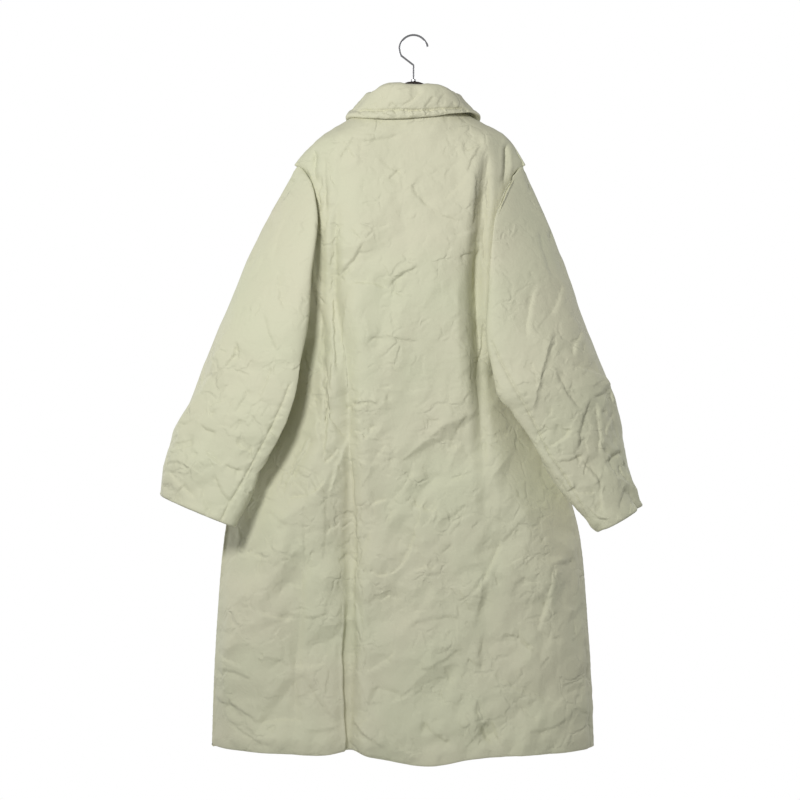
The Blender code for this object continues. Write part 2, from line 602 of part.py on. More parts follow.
def make_collar(material, tops):
    """Collar: sections lofted round the neckline from one front end to the other."""
    edges = {"back": [tops[0]], "front": tops[1:]}
    sections = []
    for i in range(COLLAR_STATIONS + 1):
        turn = COLLAR_ENDS * (2 * i / COLLAR_STATIONS - 1)
        a = math.radians(turn)
        face = "back" if abs(turn) <= 90 else "front"
        x = NECK_HALF * math.sin(a)
        heights = []
        for row in edges[face]:
            order = np.argsort(row[:, 0])
            if row[:, 0].min() - 0.005 <= x <= row[:, 0].max() + 0.005:
                heights.append(np.interp(x, row[order, 0], row[order, 2]))
        z = max(heights)
        y = face_sign(face) * stand_off(face, x, neck_z(face, x))
        outward = unit(np.array([math.sin(a) / NECK_HALF, math.cos(a) / NECK_DEPTH, 0.0]))
        foot = np.array([x, y, z + SEAM_GAP * 1.5]) - outward * COLLAR_STAND_HALF
        sections.append([foot + outward * r + np.array([0, 0, h]) for r, h in collar_section(abs(turn))])
    points = np.array(sections)
    count = points.shape[1]
    faces = []
    for i in range(len(points) - 1):
        for k in range(count):
            a, b = i * count + k, i * count + (k + 1) % count
            faces.append((a, b, b + count, a + count))
    faces.append(tuple(range(count))[::-1])
    faces.append(tuple(range((len(points) - 1) * count, len(points) * count)))
    mesh = bpy.data.meshes.new("collar")
    mesh.from_pydata(points.reshape(-1, 3).tolist(), [], faces)
    finish_mesh("collar", mesh, material)


def turned(name, section, material, closed, place):
    """Turned piece: its section, as (out, high), spun about the axis and put in its place."""
    bm = bmesh.new()
    line = [bm.verts.new((out, 0.0, high)) for out, high in section]
    for a, b in zip(line, line[1:] + (line[:1] if closed else [])):
        bm.edges.new((a, b))
    bmesh.ops.spin(bm, geom=bm.verts[:] + bm.edges[:], cent=(0, 0, 0), axis=(0, 0, 1),
                   angle=2 * math.pi, steps=TURNED_STEPS, use_merge=True)
    bmesh.ops.remove_doubles(bm, verts=bm.verts, dist=1e-6)
    bmesh.ops.recalc_face_normals(bm, faces=bm.faces)
    bmesh.ops.transform(bm, verts=bm.verts, matrix=place)
    mesh = bpy.data.meshes.new(name)
    bm.to_mesh(mesh)
    bm.free()
    finish_mesh(name, mesh, material)


def make_buttons(material):
    """Plain buttons down the centre front, each lying on the front's outer surface."""
    radius = BUTTON_DIAMETER / 2
    section = list(zip(BUTTON_SECTION["out"] * radius, BUTTON_SECTION["high"] * BUTTON_THICKNESS))
    edge = edge_rows(LEFT)[0]
    for i, z in enumerate(BUTTON_HEIGHTS):
        row = min(edge, key=lambda point: abs(point[2] - z))
        y = min(panel_y("front", 0.0, z + dz, row) for dz in (-radius, 0.0, radius))
        place = Matrix.Translation((0, y - SEAM_GAP, z)) @ Matrix.Rotation(math.radians(90), 4, "X")
        turned(f"button_{i + 1}", section, material, False, place)


def hanger_top(out):
    """Top line of the hanger: a crown under the hook, then just inside the shoulders."""
    if out < float(HANGER_CROWN["out"][-1]):
        return read(HANGER_CROWN, "out", "z", out)
    room = HANGER_THICKNESS / 2 + 1.75 * WALL + HANGER_GAP
    heights = []
    for side in (LEFT, RIGHT):
        ridge = shoulder_z(side, out)
        seam_fall = float(ARMHOLE[side]["z"][0]) - UNDERARM_Z
        drop = 0.0
        while drop < 0.04:
            drop += 0.0005
            edge = armhole_point(side, math.degrees(math.acos(1 - 2 * drop / seam_fall)))
            back = panel_y("back", side * out, ridge - drop, edge)
            if min(back, -panel_y("front", side * out, ridge - drop, edge)) > room:
                break
        under_ridge = (WALL + HANGER_GAP) / shoulder_normal(side, out)[2]
        heights.append(ridge - max(drop, under_ridge))
    return min(heights)


def make_hanger(material):
    """Flat hanger body with rounded edges, drawn as an outline in the coat's middle plane."""
    crown = float(HANGER_CROWN["out"][-1])
    outs = np.concatenate([np.linspace(0, crown, 9)[:-1], np.linspace(crown + 0.002, HANGER_HALF, 12)])
    upper = [(x, hanger_top(x)) for x in outs]
    lower = [(x, hanger_top(x) - read(HANGER_ARM_HEIGHT, "out", "height", x)) for x in outs[::-1]]
    half = upper + lower
    outline = half + [(-x, z) for x, z in reversed(half) if x > 0]
    curve = bpy.data.curves.new("hanger", "CURVE")
    curve.dimensions = "2D"
    curve.fill_mode = "BOTH"
    curve.extrude = HANGER_THICKNESS / 2 - HANGER_EDGE
    curve.bevel_depth = HANGER_EDGE
    curve.bevel_resolution = 1
    curve.offset = -HANGER_EDGE
    spline = curve.splines.new("POLY")
    spline.points.add(len(outline) - 1)
    for point, (x, z) in zip(spline.points, outline):
        point.co = (x, z, 0.0, 1.0)
    spline.use_cyclic_u = True
    curve.materials.append(material)
    obj = bpy.data.objects.new("hanger", curve)
    obj.rotation_euler = (math.radians(90), 0, 0)
    COAT.objects.link(obj)


def hook_route():
    """Centre line of the hook: stem, a slanting run, then the arc over the rail to its tip."""
    radius = HOOK_INSIDE + WIRE / 2
    centre_z = -HOOK_INSIDE
    route = [(0.0, HOOK_FOOT_Z), (0.0, (HOOK_FOOT_Z + HOOK_BEND_Z) / 2),
             (0.0, HOOK_BEND_Z - WIRE / 2), (WIRE / 6, HOOK_BEND_Z + WIRE / 4)]
    for turn in np.linspace(HOOK_LEAVE_ANGLE, HOOK_TIP_ANGLE, HOOK_ARC_POINTS):
        a = math.radians(turn)
        route.append((-radius * math.cos(a), centre_z + radius * math.sin(a)))
    return route


def make_hook(material):
    """Bent wire hook with a swollen tip."""
    curve = bpy.data.curves.new("hook", "CURVE")
    curve.dimensions = "3D"
    curve.bevel_depth = WIRE / 2
    curve.bevel_resolution = 2
    curve.use_fill_caps = True
    route = hook_route()
    spline = curve.splines.new("POLY")
    spline.points.add(len(route) - 1)
    for point, (x, z) in zip(spline.points, route):
        point.co = (x, 0.0, z, 1.0)
    for point, swell in zip(spline.points[-2:], HOOK_TIP_SWELL):
        point.radius = swell
    curve.materials.append(material)
    obj = bpy.data.objects.new("hook", curve)
    COAT.objects.link(obj)


def make_ferrule(material):
    """Ring round the stem, standing on the hanger's crown."""
    bore, wall = FERRULE_BORE / 2, (FERRULE_DIAMETER - FERRULE_BORE) / 2
    section = list(zip(bore + FERRULE_SECTION["out"] * wall, FERRULE_SECTION["high"] * FERRULE_HEIGHT))
    seat = Matrix.Translation((0, 0, float(HANGER_CROWN["z"][0]) + SEAM_GAP))
    turned("ferrule", section, material, True, seat)


def make_material(name):
    """Plain finish of one of the kinds in COLOURS."""
    colour, roughness, metallic = COLOURS[name]
    material = bpy.data.materials.new(name)
    material.use_nodes = True
    shader = material.node_tree.nodes["Principled BSDF"]
    shader.inputs["Base Color"].default_value = colour
    shader.inputs["Roughness"].default_value = roughness
    shader.inputs["Metallic"].default_value = metallic
    return material


for old in list(bpy.data.objects):
    bpy.data.objects.remove(old)
COAT = bpy.data.collections.new("padded_coat")
bpy.context.scene.collection.children.link(COAT)

CLOTH, BUTTON, HANGER, HOOK = (make_material(name) for name in COLOURS)
panel_tops = make_body(CLOTH)
make_sleeve("sleeve_left", LEFT, CLOTH)
make_sleeve("sleeve_right", RIGHT, CLOTH)
make_collar(CLOTH, panel_tops)
make_buttons(BUTTON)
make_hanger(HANGER)
make_hook(HOOK)
make_ferrule(HOOK)
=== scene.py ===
# %% [markdown]
# # A padded long coat on its hanger
#
# This lesson dresses a plain model of a coat. The model gives the true size and the large
# folds. The script gives the crumpled cloth, the seams, the finishes, the light and the
# camera. It begins by loading that model as a fixed frame, and keeps its box, below which
# the floor is placed.

# %% Load the frame
import json
import math

import bmesh
import bpy
import numpy as np
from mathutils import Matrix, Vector, geometry, kdtree, noise
from mathutils.bvhtree import BVHTree

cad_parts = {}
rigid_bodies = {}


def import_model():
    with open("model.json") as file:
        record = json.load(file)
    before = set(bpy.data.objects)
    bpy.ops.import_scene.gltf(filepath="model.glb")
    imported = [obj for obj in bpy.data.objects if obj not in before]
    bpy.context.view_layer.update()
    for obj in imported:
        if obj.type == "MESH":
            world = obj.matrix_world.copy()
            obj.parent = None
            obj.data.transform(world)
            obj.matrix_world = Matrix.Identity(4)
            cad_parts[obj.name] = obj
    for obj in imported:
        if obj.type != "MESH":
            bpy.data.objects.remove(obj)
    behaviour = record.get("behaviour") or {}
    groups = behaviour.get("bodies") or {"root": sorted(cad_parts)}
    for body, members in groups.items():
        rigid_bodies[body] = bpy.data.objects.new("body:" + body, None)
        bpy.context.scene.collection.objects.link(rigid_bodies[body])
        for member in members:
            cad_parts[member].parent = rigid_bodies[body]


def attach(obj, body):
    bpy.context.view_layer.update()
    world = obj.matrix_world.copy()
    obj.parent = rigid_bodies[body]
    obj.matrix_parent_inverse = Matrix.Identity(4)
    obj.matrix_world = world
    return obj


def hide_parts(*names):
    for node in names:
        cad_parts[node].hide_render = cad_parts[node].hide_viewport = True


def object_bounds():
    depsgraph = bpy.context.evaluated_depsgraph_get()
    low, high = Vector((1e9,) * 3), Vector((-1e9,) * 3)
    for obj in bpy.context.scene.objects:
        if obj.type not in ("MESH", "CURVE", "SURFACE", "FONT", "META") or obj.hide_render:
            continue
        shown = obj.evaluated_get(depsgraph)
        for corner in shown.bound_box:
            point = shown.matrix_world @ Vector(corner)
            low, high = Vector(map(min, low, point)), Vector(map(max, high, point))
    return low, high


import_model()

SCENE = bpy.context.scene
CAD_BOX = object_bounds()
print("CAD box:", CAD_BOX)

# %% [markdown]
# ## Camera
#
# The coat was photographed from behind, level with its middle, with a long lens. A pixel of
# the picture is 1.70 mm on the coat, which fixes the width of the view. The camera stands
# on the +Y side, where the back of the coat is.

# %% Camera
PIXEL = 0.0017
PICTURE = 800
HOOK_PIXEL = (413.5, 36.0)
CAMERA_DISTANCE = 3.4
SENSOR = 36.0


def on_coat(px, py):
    """Place on the coat's middle plane of a pixel of the picture, as (x, z)."""
    return (HOOK_PIXEL[0] - px) * PIXEL, (HOOK_PIXEL[1] - py) * PIXEL


centre_x, centre_z = on_coat(PICTURE / 2, PICTURE / 2)
camera_data = bpy.data.cameras.new("camera")
camera_data.sensor_width = SENSOR
camera_data.lens = SENSOR * CAMERA_DISTANCE / (PICTURE * PIXEL)
camera = bpy.data.objects.new("camera", camera_data)
camera.location = (centre_x, CAMERA_DISTANCE, centre_z)
camera.rotation_euler = (math.radians(90), 0, math.radians(180))
SCENE.collection.objects.link(camera)
SCENE.camera = camera
print("lens mm:", round(camera_data.lens, 1))

# %% [markdown]
# ## Light and floor
#
# The picture has the soft light of a white studio. Its main lamp stands to the left of the
# camera, as high as the hook, so the upper back is bright, the hem is darker, and creases
# show a lit and a shaded flank. Weak lamps behind the coat on both sides let the outer edges of
# the sleeves fade into the white. The floor is a pale board well below the hem.

# %% Light and floor
FLOOR_GAP = 0.45
FLOOR_RADIUS = 0.8
FLOOR_SIDES = 96
# Each lamp's name, place, aim, size in metres and power in watts.
LAMPS = (("lamp_main", (0.55, 1.50, 0.05), (0.0, 0.0, -0.55), 0.30, 20.0),
         ("lamp_edge_left", (1.7, -0.9, -0.3), (0.0, 0.0, -0.6), 1.2, 13),
         ("lamp_edge_right", (-1.7, -0.9, -0.3), (0.0, 0.0, -0.6), 1.2, 13))
# The white room lights the coat less than it shows behind it.
ROOM_LIGHT, ROOM_SEEN = 0.30, 1.0


def studio_lamp(name, place, aim, size, watts):
    """Square lamp that points at a place."""
    data = bpy.data.lights.new(name, "AREA")
    data.size = size
    data.energy = watts
    lamp = bpy.data.objects.new(name, data)
    lamp.location = place
    lamp.rotation_euler = (Vector(aim) - Vector(place)).to_track_quat("-Z", "Y").to_euler()
    SCENE.collection.objects.link(lamp)


for lamp_row in LAMPS:
    studio_lamp(*lamp_row)

SCENE.view_settings.view_transform = "Standard"
world = bpy.data.worlds.new("white_room")
SCENE.world = world
world.use_nodes = True
room = world.node_tree
room_light, room_seen = room.nodes["Background"], room.nodes.new("ShaderNodeBackground")
for node, strength in ((room_light, ROOM_LIGHT), (room_seen, ROOM_SEEN)):
    node.inputs["Color"].default_value = (1, 1, 1, 1)
    node.inputs["Strength"].default_value = strength
rays = room.nodes.new("ShaderNodeLightPath")
either = room.nodes.new("ShaderNodeMixShader")
room.links.new(rays.outputs["Is Camera Ray"], either.inputs[0])
room.links.new(room_light.outputs[0], either.inputs[1])
room.links.new(room_seen.outputs[0], either.inputs[2])
room.links.new(either.outputs[0], room.nodes["World Output"].inputs["Surface"])

# %% [markdown]
# ## Materials
#
# Each finish starts from what the real one is. Colours are written as sRGB hex values, the
# way a colour picker shows them, and one function turns them into the linear values that
# the shader needs. Another adds a node with its settings and links, so that every recipe
# below reads as a list of what the surface has.

# %% Helpers for materials


def linear(hex_colour):
    """An sRGB hex colour as linear red, green, blue and alpha."""
    parts = [int(hex_colour[i:i + 2], 16) / 255 for i in (1, 3, 5)]
    return [c / 12.92 if c <= 0.04045 else ((c + 0.055) / 1.055) ** 2.4 for c in parts] + [1.0]


def add(material, kind, settings=None, **links):
    """A node with its settings; each link gives a socket the output that feeds it."""
    node = material.node_tree.nodes.new(kind)
    for name, value in (settings or {}).items():
        if hasattr(node, name):
            setattr(node, name, value)
        else:
            node.inputs[name].default_value = value
    for name, output in links.items():
        socket = node.inputs[int(name[1:])] if name[1:].isdigit() else node.inputs[name.replace("_", " ")]
        material.node_tree.links.new(output, socket)
    return node


def new_material(name, colour, roughness, **settings):
    """A Principled material and its shader node."""
    material = bpy.data.materials.new(name)
    material.use_nodes = True
    shader = material.node_tree.nodes["Principled BSDF"]
    shader.inputs["Base Color"].default_value = linear(colour)
    shader.inputs["Roughness"].default_value = roughness
    for key, value in settings.items():
        shader.inputs[key.replace("_", " ").title().replace("Ior", "IOR")].default_value = value
    return material, shader

# %% [markdown]
# ### Crinkled cotton and nylon
#
# The outer cloth is a dense plain weave of cotton and nylon, washed so that it crinkles for
# good, in a pale sage that leans to beige in places. The eye sees a dry, slightly silky
# surface, a web of fine crinkles under the larger creases, and hardly any weave. The thread
# spacing is about 0.3 mm, which is too fine to show here, so it is drawn at 1.2 mm.

# %% Cloth
# Size and depth of each kind of relief: soft crinkles, a web of sharp ones, fine ones, threads.
CRINKLE_SIZE, CRINKLE_DEPTH = 0.020, 0.0014
WEB_SIZE, WEB_DEPTH = 0.036, 0.0011
FINE_CRINKLE_SIZE, FINE_CRINKLE_DEPTH = 0.006, 0.0002
THREAD_DRAWN, THREAD_DEPTH = 0.0012, 0.00004
# The web's lines are kinked by this share of their spacing, and it shows in patches.
WEB_KINK = 1.1
WEB_LINE = 0.16
PATCH_SIZE, PATCH_FROM, PATCH_TO = 0.060, 0.47, 0.62
TINT_SIZE, TINT_FROM, TINT_TO = 0.16, 0.35, 0.65
SAGE, BEIGE = "#CACBAF", "#CCCAB0"


def crinkled_cloth():
    """Washed cotton and nylon: matte, with a faint sheen at the edges."""
    cloth, shader = new_material("crinkled_cotton_nylon", "#CBCBAF", 0.72, ior=1.5)
    shader.inputs["Sheen Weight"].default_value = 0.12
    shader.inputs["Sheen Roughness"].default_value = 0.45
    place = add(cloth, "ShaderNodeTexCoord").outputs["Object"]
    tint = add(cloth, "ShaderNodeTexNoise", {"Scale": 1 / TINT_SIZE, "Detail": 3.0}, Vector=place)
    spread = add(cloth, "ShaderNodeMapRange", {"From Min": TINT_FROM, "From Max": TINT_TO},
                 Value=tint.outputs[0])
    colour = add(cloth, "ShaderNodeMix", {"data_type": "RGBA"}, _0=spread.outputs[0])
    colour.inputs[6].default_value = linear(SAGE)
    colour.inputs[7].default_value = linear(BEIGE)
    cloth.node_tree.links.new(colour.outputs[2], shader.inputs["Base Color"])
    coarse = add(cloth, "ShaderNodeTexNoise",
                 {"Scale": 1 / CRINKLE_SIZE, "Detail": 4.0, "Roughness": 0.55, "Distortion": 0.6},
                 Vector=place)
    fine = add(cloth, "ShaderNodeTexVoronoi",
               {"feature": "DISTANCE_TO_EDGE", "Scale": 1 / FINE_CRINKLE_SIZE}, Vector=place)
    threads = add(cloth, "ShaderNodeTexWave",
                  {"wave_type": "BANDS", "bands_direction": "DIAGONAL", "Scale": 0.5 / THREAD_DRAWN,
                   "Distortion": 1.5}, Vector=place)
    kinked = add(cloth, "ShaderNodeTexNoise", {"Scale": 1 / WEB_SIZE, "Detail": 4.0}, Vector=place)
    shift = add(cloth, "ShaderNodeVectorMath", {"operation": "SCALE", "Scale": WEB_KINK * WEB_SIZE},
                Vector=kinked.outputs["Color"])
    shifted = add(cloth, "ShaderNodeVectorMath", {"operation": "ADD"}, _0=place, _1=shift.outputs[0])
    cells = add(cloth, "ShaderNodeTexVoronoi",
                {"feature": "DISTANCE_TO_EDGE", "Scale": 1 / WEB_SIZE}, Vector=shifted.outputs[0])
    web = add(cloth, "ShaderNodeMapRange", {"interpolation_type": "SMOOTHSTEP", "From Max": WEB_LINE},
              Value=cells.outputs["Distance"])
    patches = add(cloth, "ShaderNodeTexNoise", {"Scale": 1 / PATCH_SIZE, "Detail": 2.0}, Vector=place)
    where = add(cloth, "ShaderNodeMapRange", {"From Min": PATCH_FROM, "From Max": PATCH_TO},
                Value=patches.outputs[0])
    broken_web = add(cloth, "ShaderNodeMath", {"operation": "MULTIPLY"},
                     _0=web.outputs[0], _1=where.outputs[0])
    relief = None
    for source, depth in ((coarse.outputs[0], CRINKLE_DEPTH), (broken_web.outputs[0], WEB_DEPTH),
                          (fine.outputs["Distance"], FINE_CRINKLE_DEPTH),
                          (threads.outputs["Fac"], THREAD_DEPTH)):
        bump = add(cloth, "ShaderNodeBump", {"Strength": 1.0, "Distance": depth}, Height=source)
        if relief:
            cloth.node_tree.links.new(relief.outputs[0], bump.inputs["Normal"])
        relief = bump
    cloth.node_tree.links.new(relief.outputs[0], shader.inputs["Normal"])
    return cloth


CLOTH = crinkled_cloth()

# %% [markdown]
# ### Buttons, hanger and wire
#
# The buttons are cast polyester with a satin finish. The hanger is beech under a nearly
# black gloss lacquer, which shows a hard highlight. The hook and the small ring at its foot
# are chromed steel.

# %% Small finishes
GLOSS_SPREAD = 0.2


def small_finish(name, colour, roughness, grain, depth, **settings):
    """A finish with a fine grain in its relief and its gloss."""
    material, shader = new_material(name, colour, roughness, **settings)
    place = add(material, "ShaderNodeTexCoord").outputs["Object"]
    grains = add(material, "ShaderNodeTexNoise", {"Scale": 1 / grain, "Detail": 3.0}, Vector=place)
    gloss = add(material, "ShaderNodeMapRange",
                {"To Min": roughness * (1 - GLOSS_SPREAD), "To Max": roughness * (1 + GLOSS_SPREAD)},
                Value=grains.outputs[0])
    bump = add(material, "ShaderNodeBump", {"Strength": 1.0, "Distance": depth}, Height=grains.outputs[0])
    material.node_tree.links.new(gloss.outputs[0], shader.inputs["Roughness"])
    material.node_tree.links.new(bump.outputs[0], shader.inputs["Normal"])
    return material


BUTTON = small_finish("cast_polyester", "#A8A48C", 0.35, 0.003, 0.00003, ior=1.55)
LACQUER = small_finish("lacquered_beech", "#2A2320", 0.18, 0.020, 0.00005, ior=1.5)
CHROME = small_finish("chromed_wire", "#B9BABD", 0.20, 0.010, 0.00001, metallic=1.0)

# %% [markdown]
# ## Peeling the outer cloth off a solid
#
# Each piece of the model is a closed wall. The script needs only its outer face, to crumple
# it and then give it back its thickness. A copy of the mesh is merged, because its triangles
# are loose. From the face that lies furthest out, a walk crosses every edge that bends less
# than 62 degrees. Where a narrow rim meets the face so gently that the walk takes it too,
# its far corners touch mostly faces of the inside, and those corners are dropped again.

# %% Peel
WELD = 0.00002
SHARP_BEND = math.radians(62)
FACES_OUT = 0.9
INSIDE_SHARE = 0.5
# How far two triangles may bend, and how uneven they may be, to be joined to a quad.
QUAD_BEND, QUAD_SHAPE = 1.2, 2.2


def outer_layer(node, aim):
    """A bmesh of the outer cloth of a CAD node, in quads where it can be."""
    bm = bmesh.new()
    bm.from_mesh(bpy.data.objects[node].data)
    bmesh.ops.remove_doubles(bm, verts=bm.verts, dist=WELD)
    facing = [face for face in bm.faces if face.normal.dot(aim) > FACES_OUT]
    start = max(facing, key=lambda face: face.calc_center_median().dot(aim))
    layer, waiting = {start}, [start]
    while waiting:
        for edge in waiting.pop().edges:
            if len(edge.link_faces) == 2 and edge.calc_face_angle() < SHARP_BEND:
                fresh = [face for face in edge.link_faces if face not in layer]
                layer.update(fresh)
                waiting += fresh
    inside = set()
    for vert in bm.verts:
        area = sum(face.calc_area() for face in vert.link_faces)
        if sum(face.calc_area() for face in vert.link_faces if face in layer) < INSIDE_SHARE * area:
            inside.add(vert)
    rest = [face for face in bm.faces if face not in layer or any(v in inside for v in face.verts)]
    bmesh.ops.delete(bm, geom=rest, context="FACES")
    to_quads(bm)
    print(node, "outer faces:", len(bm.faces), "of them quads:", sum(len(f.verts) == 4 for f in bm.faces))
    return bm


def to_quads(bm):
    """Joins pairs of triangles, so that subdivision rounds the surface evenly."""
    bmesh.ops.join_triangles(bm, faces=bm.faces, cmp_seam=False, cmp_sharp=False, cmp_uvs=False,
                             cmp_vcols=False, cmp_materials=False,
                             angle_face_threshold=QUAD_BEND, angle_shape_threshold=QUAD_SHAPE)

# %% [markdown]
# ## Small triangles where the cloth bends
#
# Creases need points where the model has none, and flat facets need hardly any. To begin
# with, two rounds of subdivision round the coarse faces. The points, their normals and the
# ends of the edges are read as arrays, so that a relief can be worked out for all at once.

# %% Round off

def modified(mesh, name, kind, **settings):
    """The mesh that one modifier makes of a mesh."""
    obj = bpy.data.objects.new(name, mesh)
    SCENE.collection.objects.link(obj)
    modifier = obj.modifiers.new(name, kind)
    for key, value in settings.items():
        setattr(modifier, key, value)
    graph = bpy.context.evaluated_depsgraph_get()
    result = bpy.data.meshes.new_from_object(obj.evaluated_get(graph))
    bpy.data.objects.remove(obj)
    return result


def rounded(bm, name):
    """The bmesh after two rounds of subdivision, in triangles."""
    coarse = bpy.data.meshes.new(name)
    bm.to_mesh(coarse)
    bm.free()
    bm = bmesh.new()
    bm.from_mesh(modified(coarse, name, "SUBSURF", levels=2, render_levels=2,
                          boundary_smooth="PRESERVE_CORNERS"))
    bmesh.ops.triangulate(bm, faces=bm.faces)
    return bm


def places(bm):
    """Points, normals and edge ends of a bmesh, as arrays."""
    mesh = bpy.data.meshes.new("measured")
    bm.to_mesh(mesh)
    points, normals = np.empty(len(mesh.vertices) * 3), np.empty(len(mesh.vertices) * 3)
    ends = np.empty(len(mesh.edges) * 2, int)
    mesh.vertices.foreach_get("co", points)
    mesh.vertex_normals.foreach_get("vector", normals)
    mesh.edges.foreach_get("vertices", ends)
    bpy.data.meshes.remove(mesh)
    return points.reshape(-1, 3), normals.reshape(-1, 3), ends.reshape(-1, 2)

# %% [markdown]
# ### Refine
#
# The relief is tried at the middle of every edge. Where it lies off the straight line between
# the ends, the edge is split. Splitting the longest edge near it first keeps the triangles
# well shaped. After some rounds the creases are sharp and the rest of the mesh is still light.

# %% Refine
MOST_ROUNDS = 16
SHORTEST_SPLIT = 0.0022
LONGEST_EDGE = 0.011
CLEARLY_LONGER = 1.05
NEW, STRAIGHT, BENT = 0, 1, 2


def longest_near(edge):
    """The longest edge that can be reached by going to a longer edge of a face each time."""
    while True:
        longer = max((e for face in edge.link_faces for e in face.edges), key=lambda e: e.calc_length())
        if longer.calc_length() < CLEARLY_LONGER * edge.calc_length():
            return edge
        edge = longer


def refine(bm, relief, tolerance):
    """Splits the edges across which the relief bends by more than the tolerance."""
    state = bm.edges.layers.int.new("state")
    points, normals, ends = places(bm)
    height = relief(points, normals)
    for _ in range(MOST_ROUNDS):
        edges = list(bm.edges)
        length = np.linalg.norm(points[ends[:, 0]] - points[ends[:, 1]], axis=1)
        fresh = np.array([i for i, edge in enumerate(edges) if edge[state] == NEW], int)
        fresh = fresh[length[fresh] > SHORTEST_SPLIT]
        one, two = ends[fresh].T
        middle = relief((points[one] + points[two]) / 2, (normals[one] + normals[two]) / 2)
        bent = np.abs(middle - (height[one] + height[two]) / 2) > tolerance
        for i, split in zip(fresh.tolist(), (bent | (length[fresh] > LONGEST_EDGE)).tolist()):
            edges[i][state] = BENT if split else STRAIGHT
        chosen, used = [], set()
        for edge in [edge for edge in edges if edge[state] == BENT]:
            edge = longest_near(edge)
            if not any(face in used for face in edge.link_faces):
                chosen.append(edge)
                used.update(edge.link_faces)
        if not chosen:
            break
        for edge in chosen:
            edge[state] = NEW
        bmesh.ops.subdivide_edges(bm, edges=chosen, cuts=1, use_single_edge=True)
        points, normals, ends = places(bm)
        old = len(height)
        height = np.append(height, relief(points[old:], normals[old:]))
    return height

# %% [markdown]
# ## Crumpling
#
# Washed cloth over thin padding folds like soft paper: flat facets that meet in short,
# crisp creases. A sheet of random points, joined into triangles and given random heights,
# has exactly that form. Three of them, from palm size to fingertip size, are added up. They
# are stretched along the diagonal on which most creases of the picture lie.

# %% Facets
CRUMPLE_SEED = 11
# Facets from large to small: distance between their corners, and how high these stand.
FACETS = ((0.090, 0.0080), (0.045, 0.0052), (0.022, 0.0020))
STRETCH = 1.45
CORNER_SHAKE = 0.42
HEIGHT_SPREAD = 0.55
# Rows of corners beyond each side of the rectangle.
MARGIN = 2
SEED_STEP = 7
DIAGONAL = math.radians(125)


def facet_sheet(low, high, spacing, height, seed):
    """Random facets over a rectangle, as a tree that a ray can look up."""
    rng = np.random.default_rng(seed)
    columns, rows = ((high - low) / spacing).astype(int) + 2 * MARGIN + 1
    corners = []
    for i in range(columns):
        for j in range(rows):
            shake = rng.uniform(-CORNER_SHAKE, CORNER_SHAKE, 2)
            corners.append(Vector((low[0] + (i - MARGIN + shake[0] + 0.5 * (j % 2)) * spacing,
                                   low[1] + (j - MARGIN + shake[1]) * spacing)))
    flat, _, faces = geometry.delaunay_2d_cdt(corners, [], [], 0, 1e-6)[:3]
    heights = rng.normal(0.0, HEIGHT_SPREAD, len(flat)) * height
    return BVHTree.FromPolygons([(p.x, p.y, h) for p, h in zip(flat, heights)], faces)


class Facets:
    """Crumpled facets over a flat rectangle, whose height can be asked at any place."""

    def __init__(self, low, high, seed, strength=1.0):
        along = np.array([math.cos(DIAGONAL), math.sin(DIAGONAL)])
        self.turn = np.column_stack([along / STRETCH, [-along[1], along[0]]])
        corners = np.array([(low[0], low[1]), (low[0], high[1]), (high[0], low[1]), high]) @ self.turn
        low, high = corners.min(axis=0), corners.max(axis=0)
        first = CRUMPLE_SEED + SEED_STEP * seed
        self.trees = [facet_sheet(low, high, spacing, height * strength, first + k)
                      for k, (spacing, height) in enumerate(FACETS)]

    def heights(self, flat):
        """Height of the facets above places of the rectangle."""
        total = np.zeros(len(flat))
        down = Vector((0, 0, -1))
        for i, (u, v) in enumerate((flat @ self.turn).tolist()):
            start = Vector((u, v, 1.0))
            for tree in self.trees:
                hit = tree.ray_cast(start, down)[0]
                total[i] += hit.z if hit else 0.0
        return total

# %% [markdown]
# ## Tables
#
# What is placed one by one stands in short tables with named columns. Two curves are used again
# and again: a smooth step and a smooth bump.

# %% Tables
def table(columns, *rows):
    """A short table with named columns."""
    return {name: np.array([row[i] for row in rows], float) for i, name in enumerate(columns.split())}


def smooth_step(value):
    """0 below 0, 1 above 1, and a smooth rise between them."""
    value = np.clip(value, 0.0, 1.0)
    return value * value * (3 - 2 * value)


def bulge(place, middle, width):
    """A smooth bump of height 1 about a middle."""
    return np.exp(-((place - middle) / width) ** 2)


def joined(*tables):
    """Tables with the same columns, one after the other."""
    return {name: np.concatenate([t[name] for t in tables]) for name in tables[0]}

# %% [markdown]
# ## Small creases
#
# The small crinkles between the large creases are drawn by lot. Most lie along the diagonal,
# some cross it, and a few are ridges.

# %% Small creases
# Small creases in millimetres and degrees: logarithm of the length, its spread and limits.
LENGTH_LOG, LENGTH_SPREAD, SHORTEST, LONGEST = 3.1, 0.45, 9, 60
ANGLE_SPREAD, CROSSING_ANGLE, CROSSING_SHARE = 32, 75, 0.22
BOW_SPREAD = 0.04
RIDGE_SHARE, RIDGE_DEPTH = 0.22, -0.7
SMALL_WIDTHS = (1.5, 3.2)


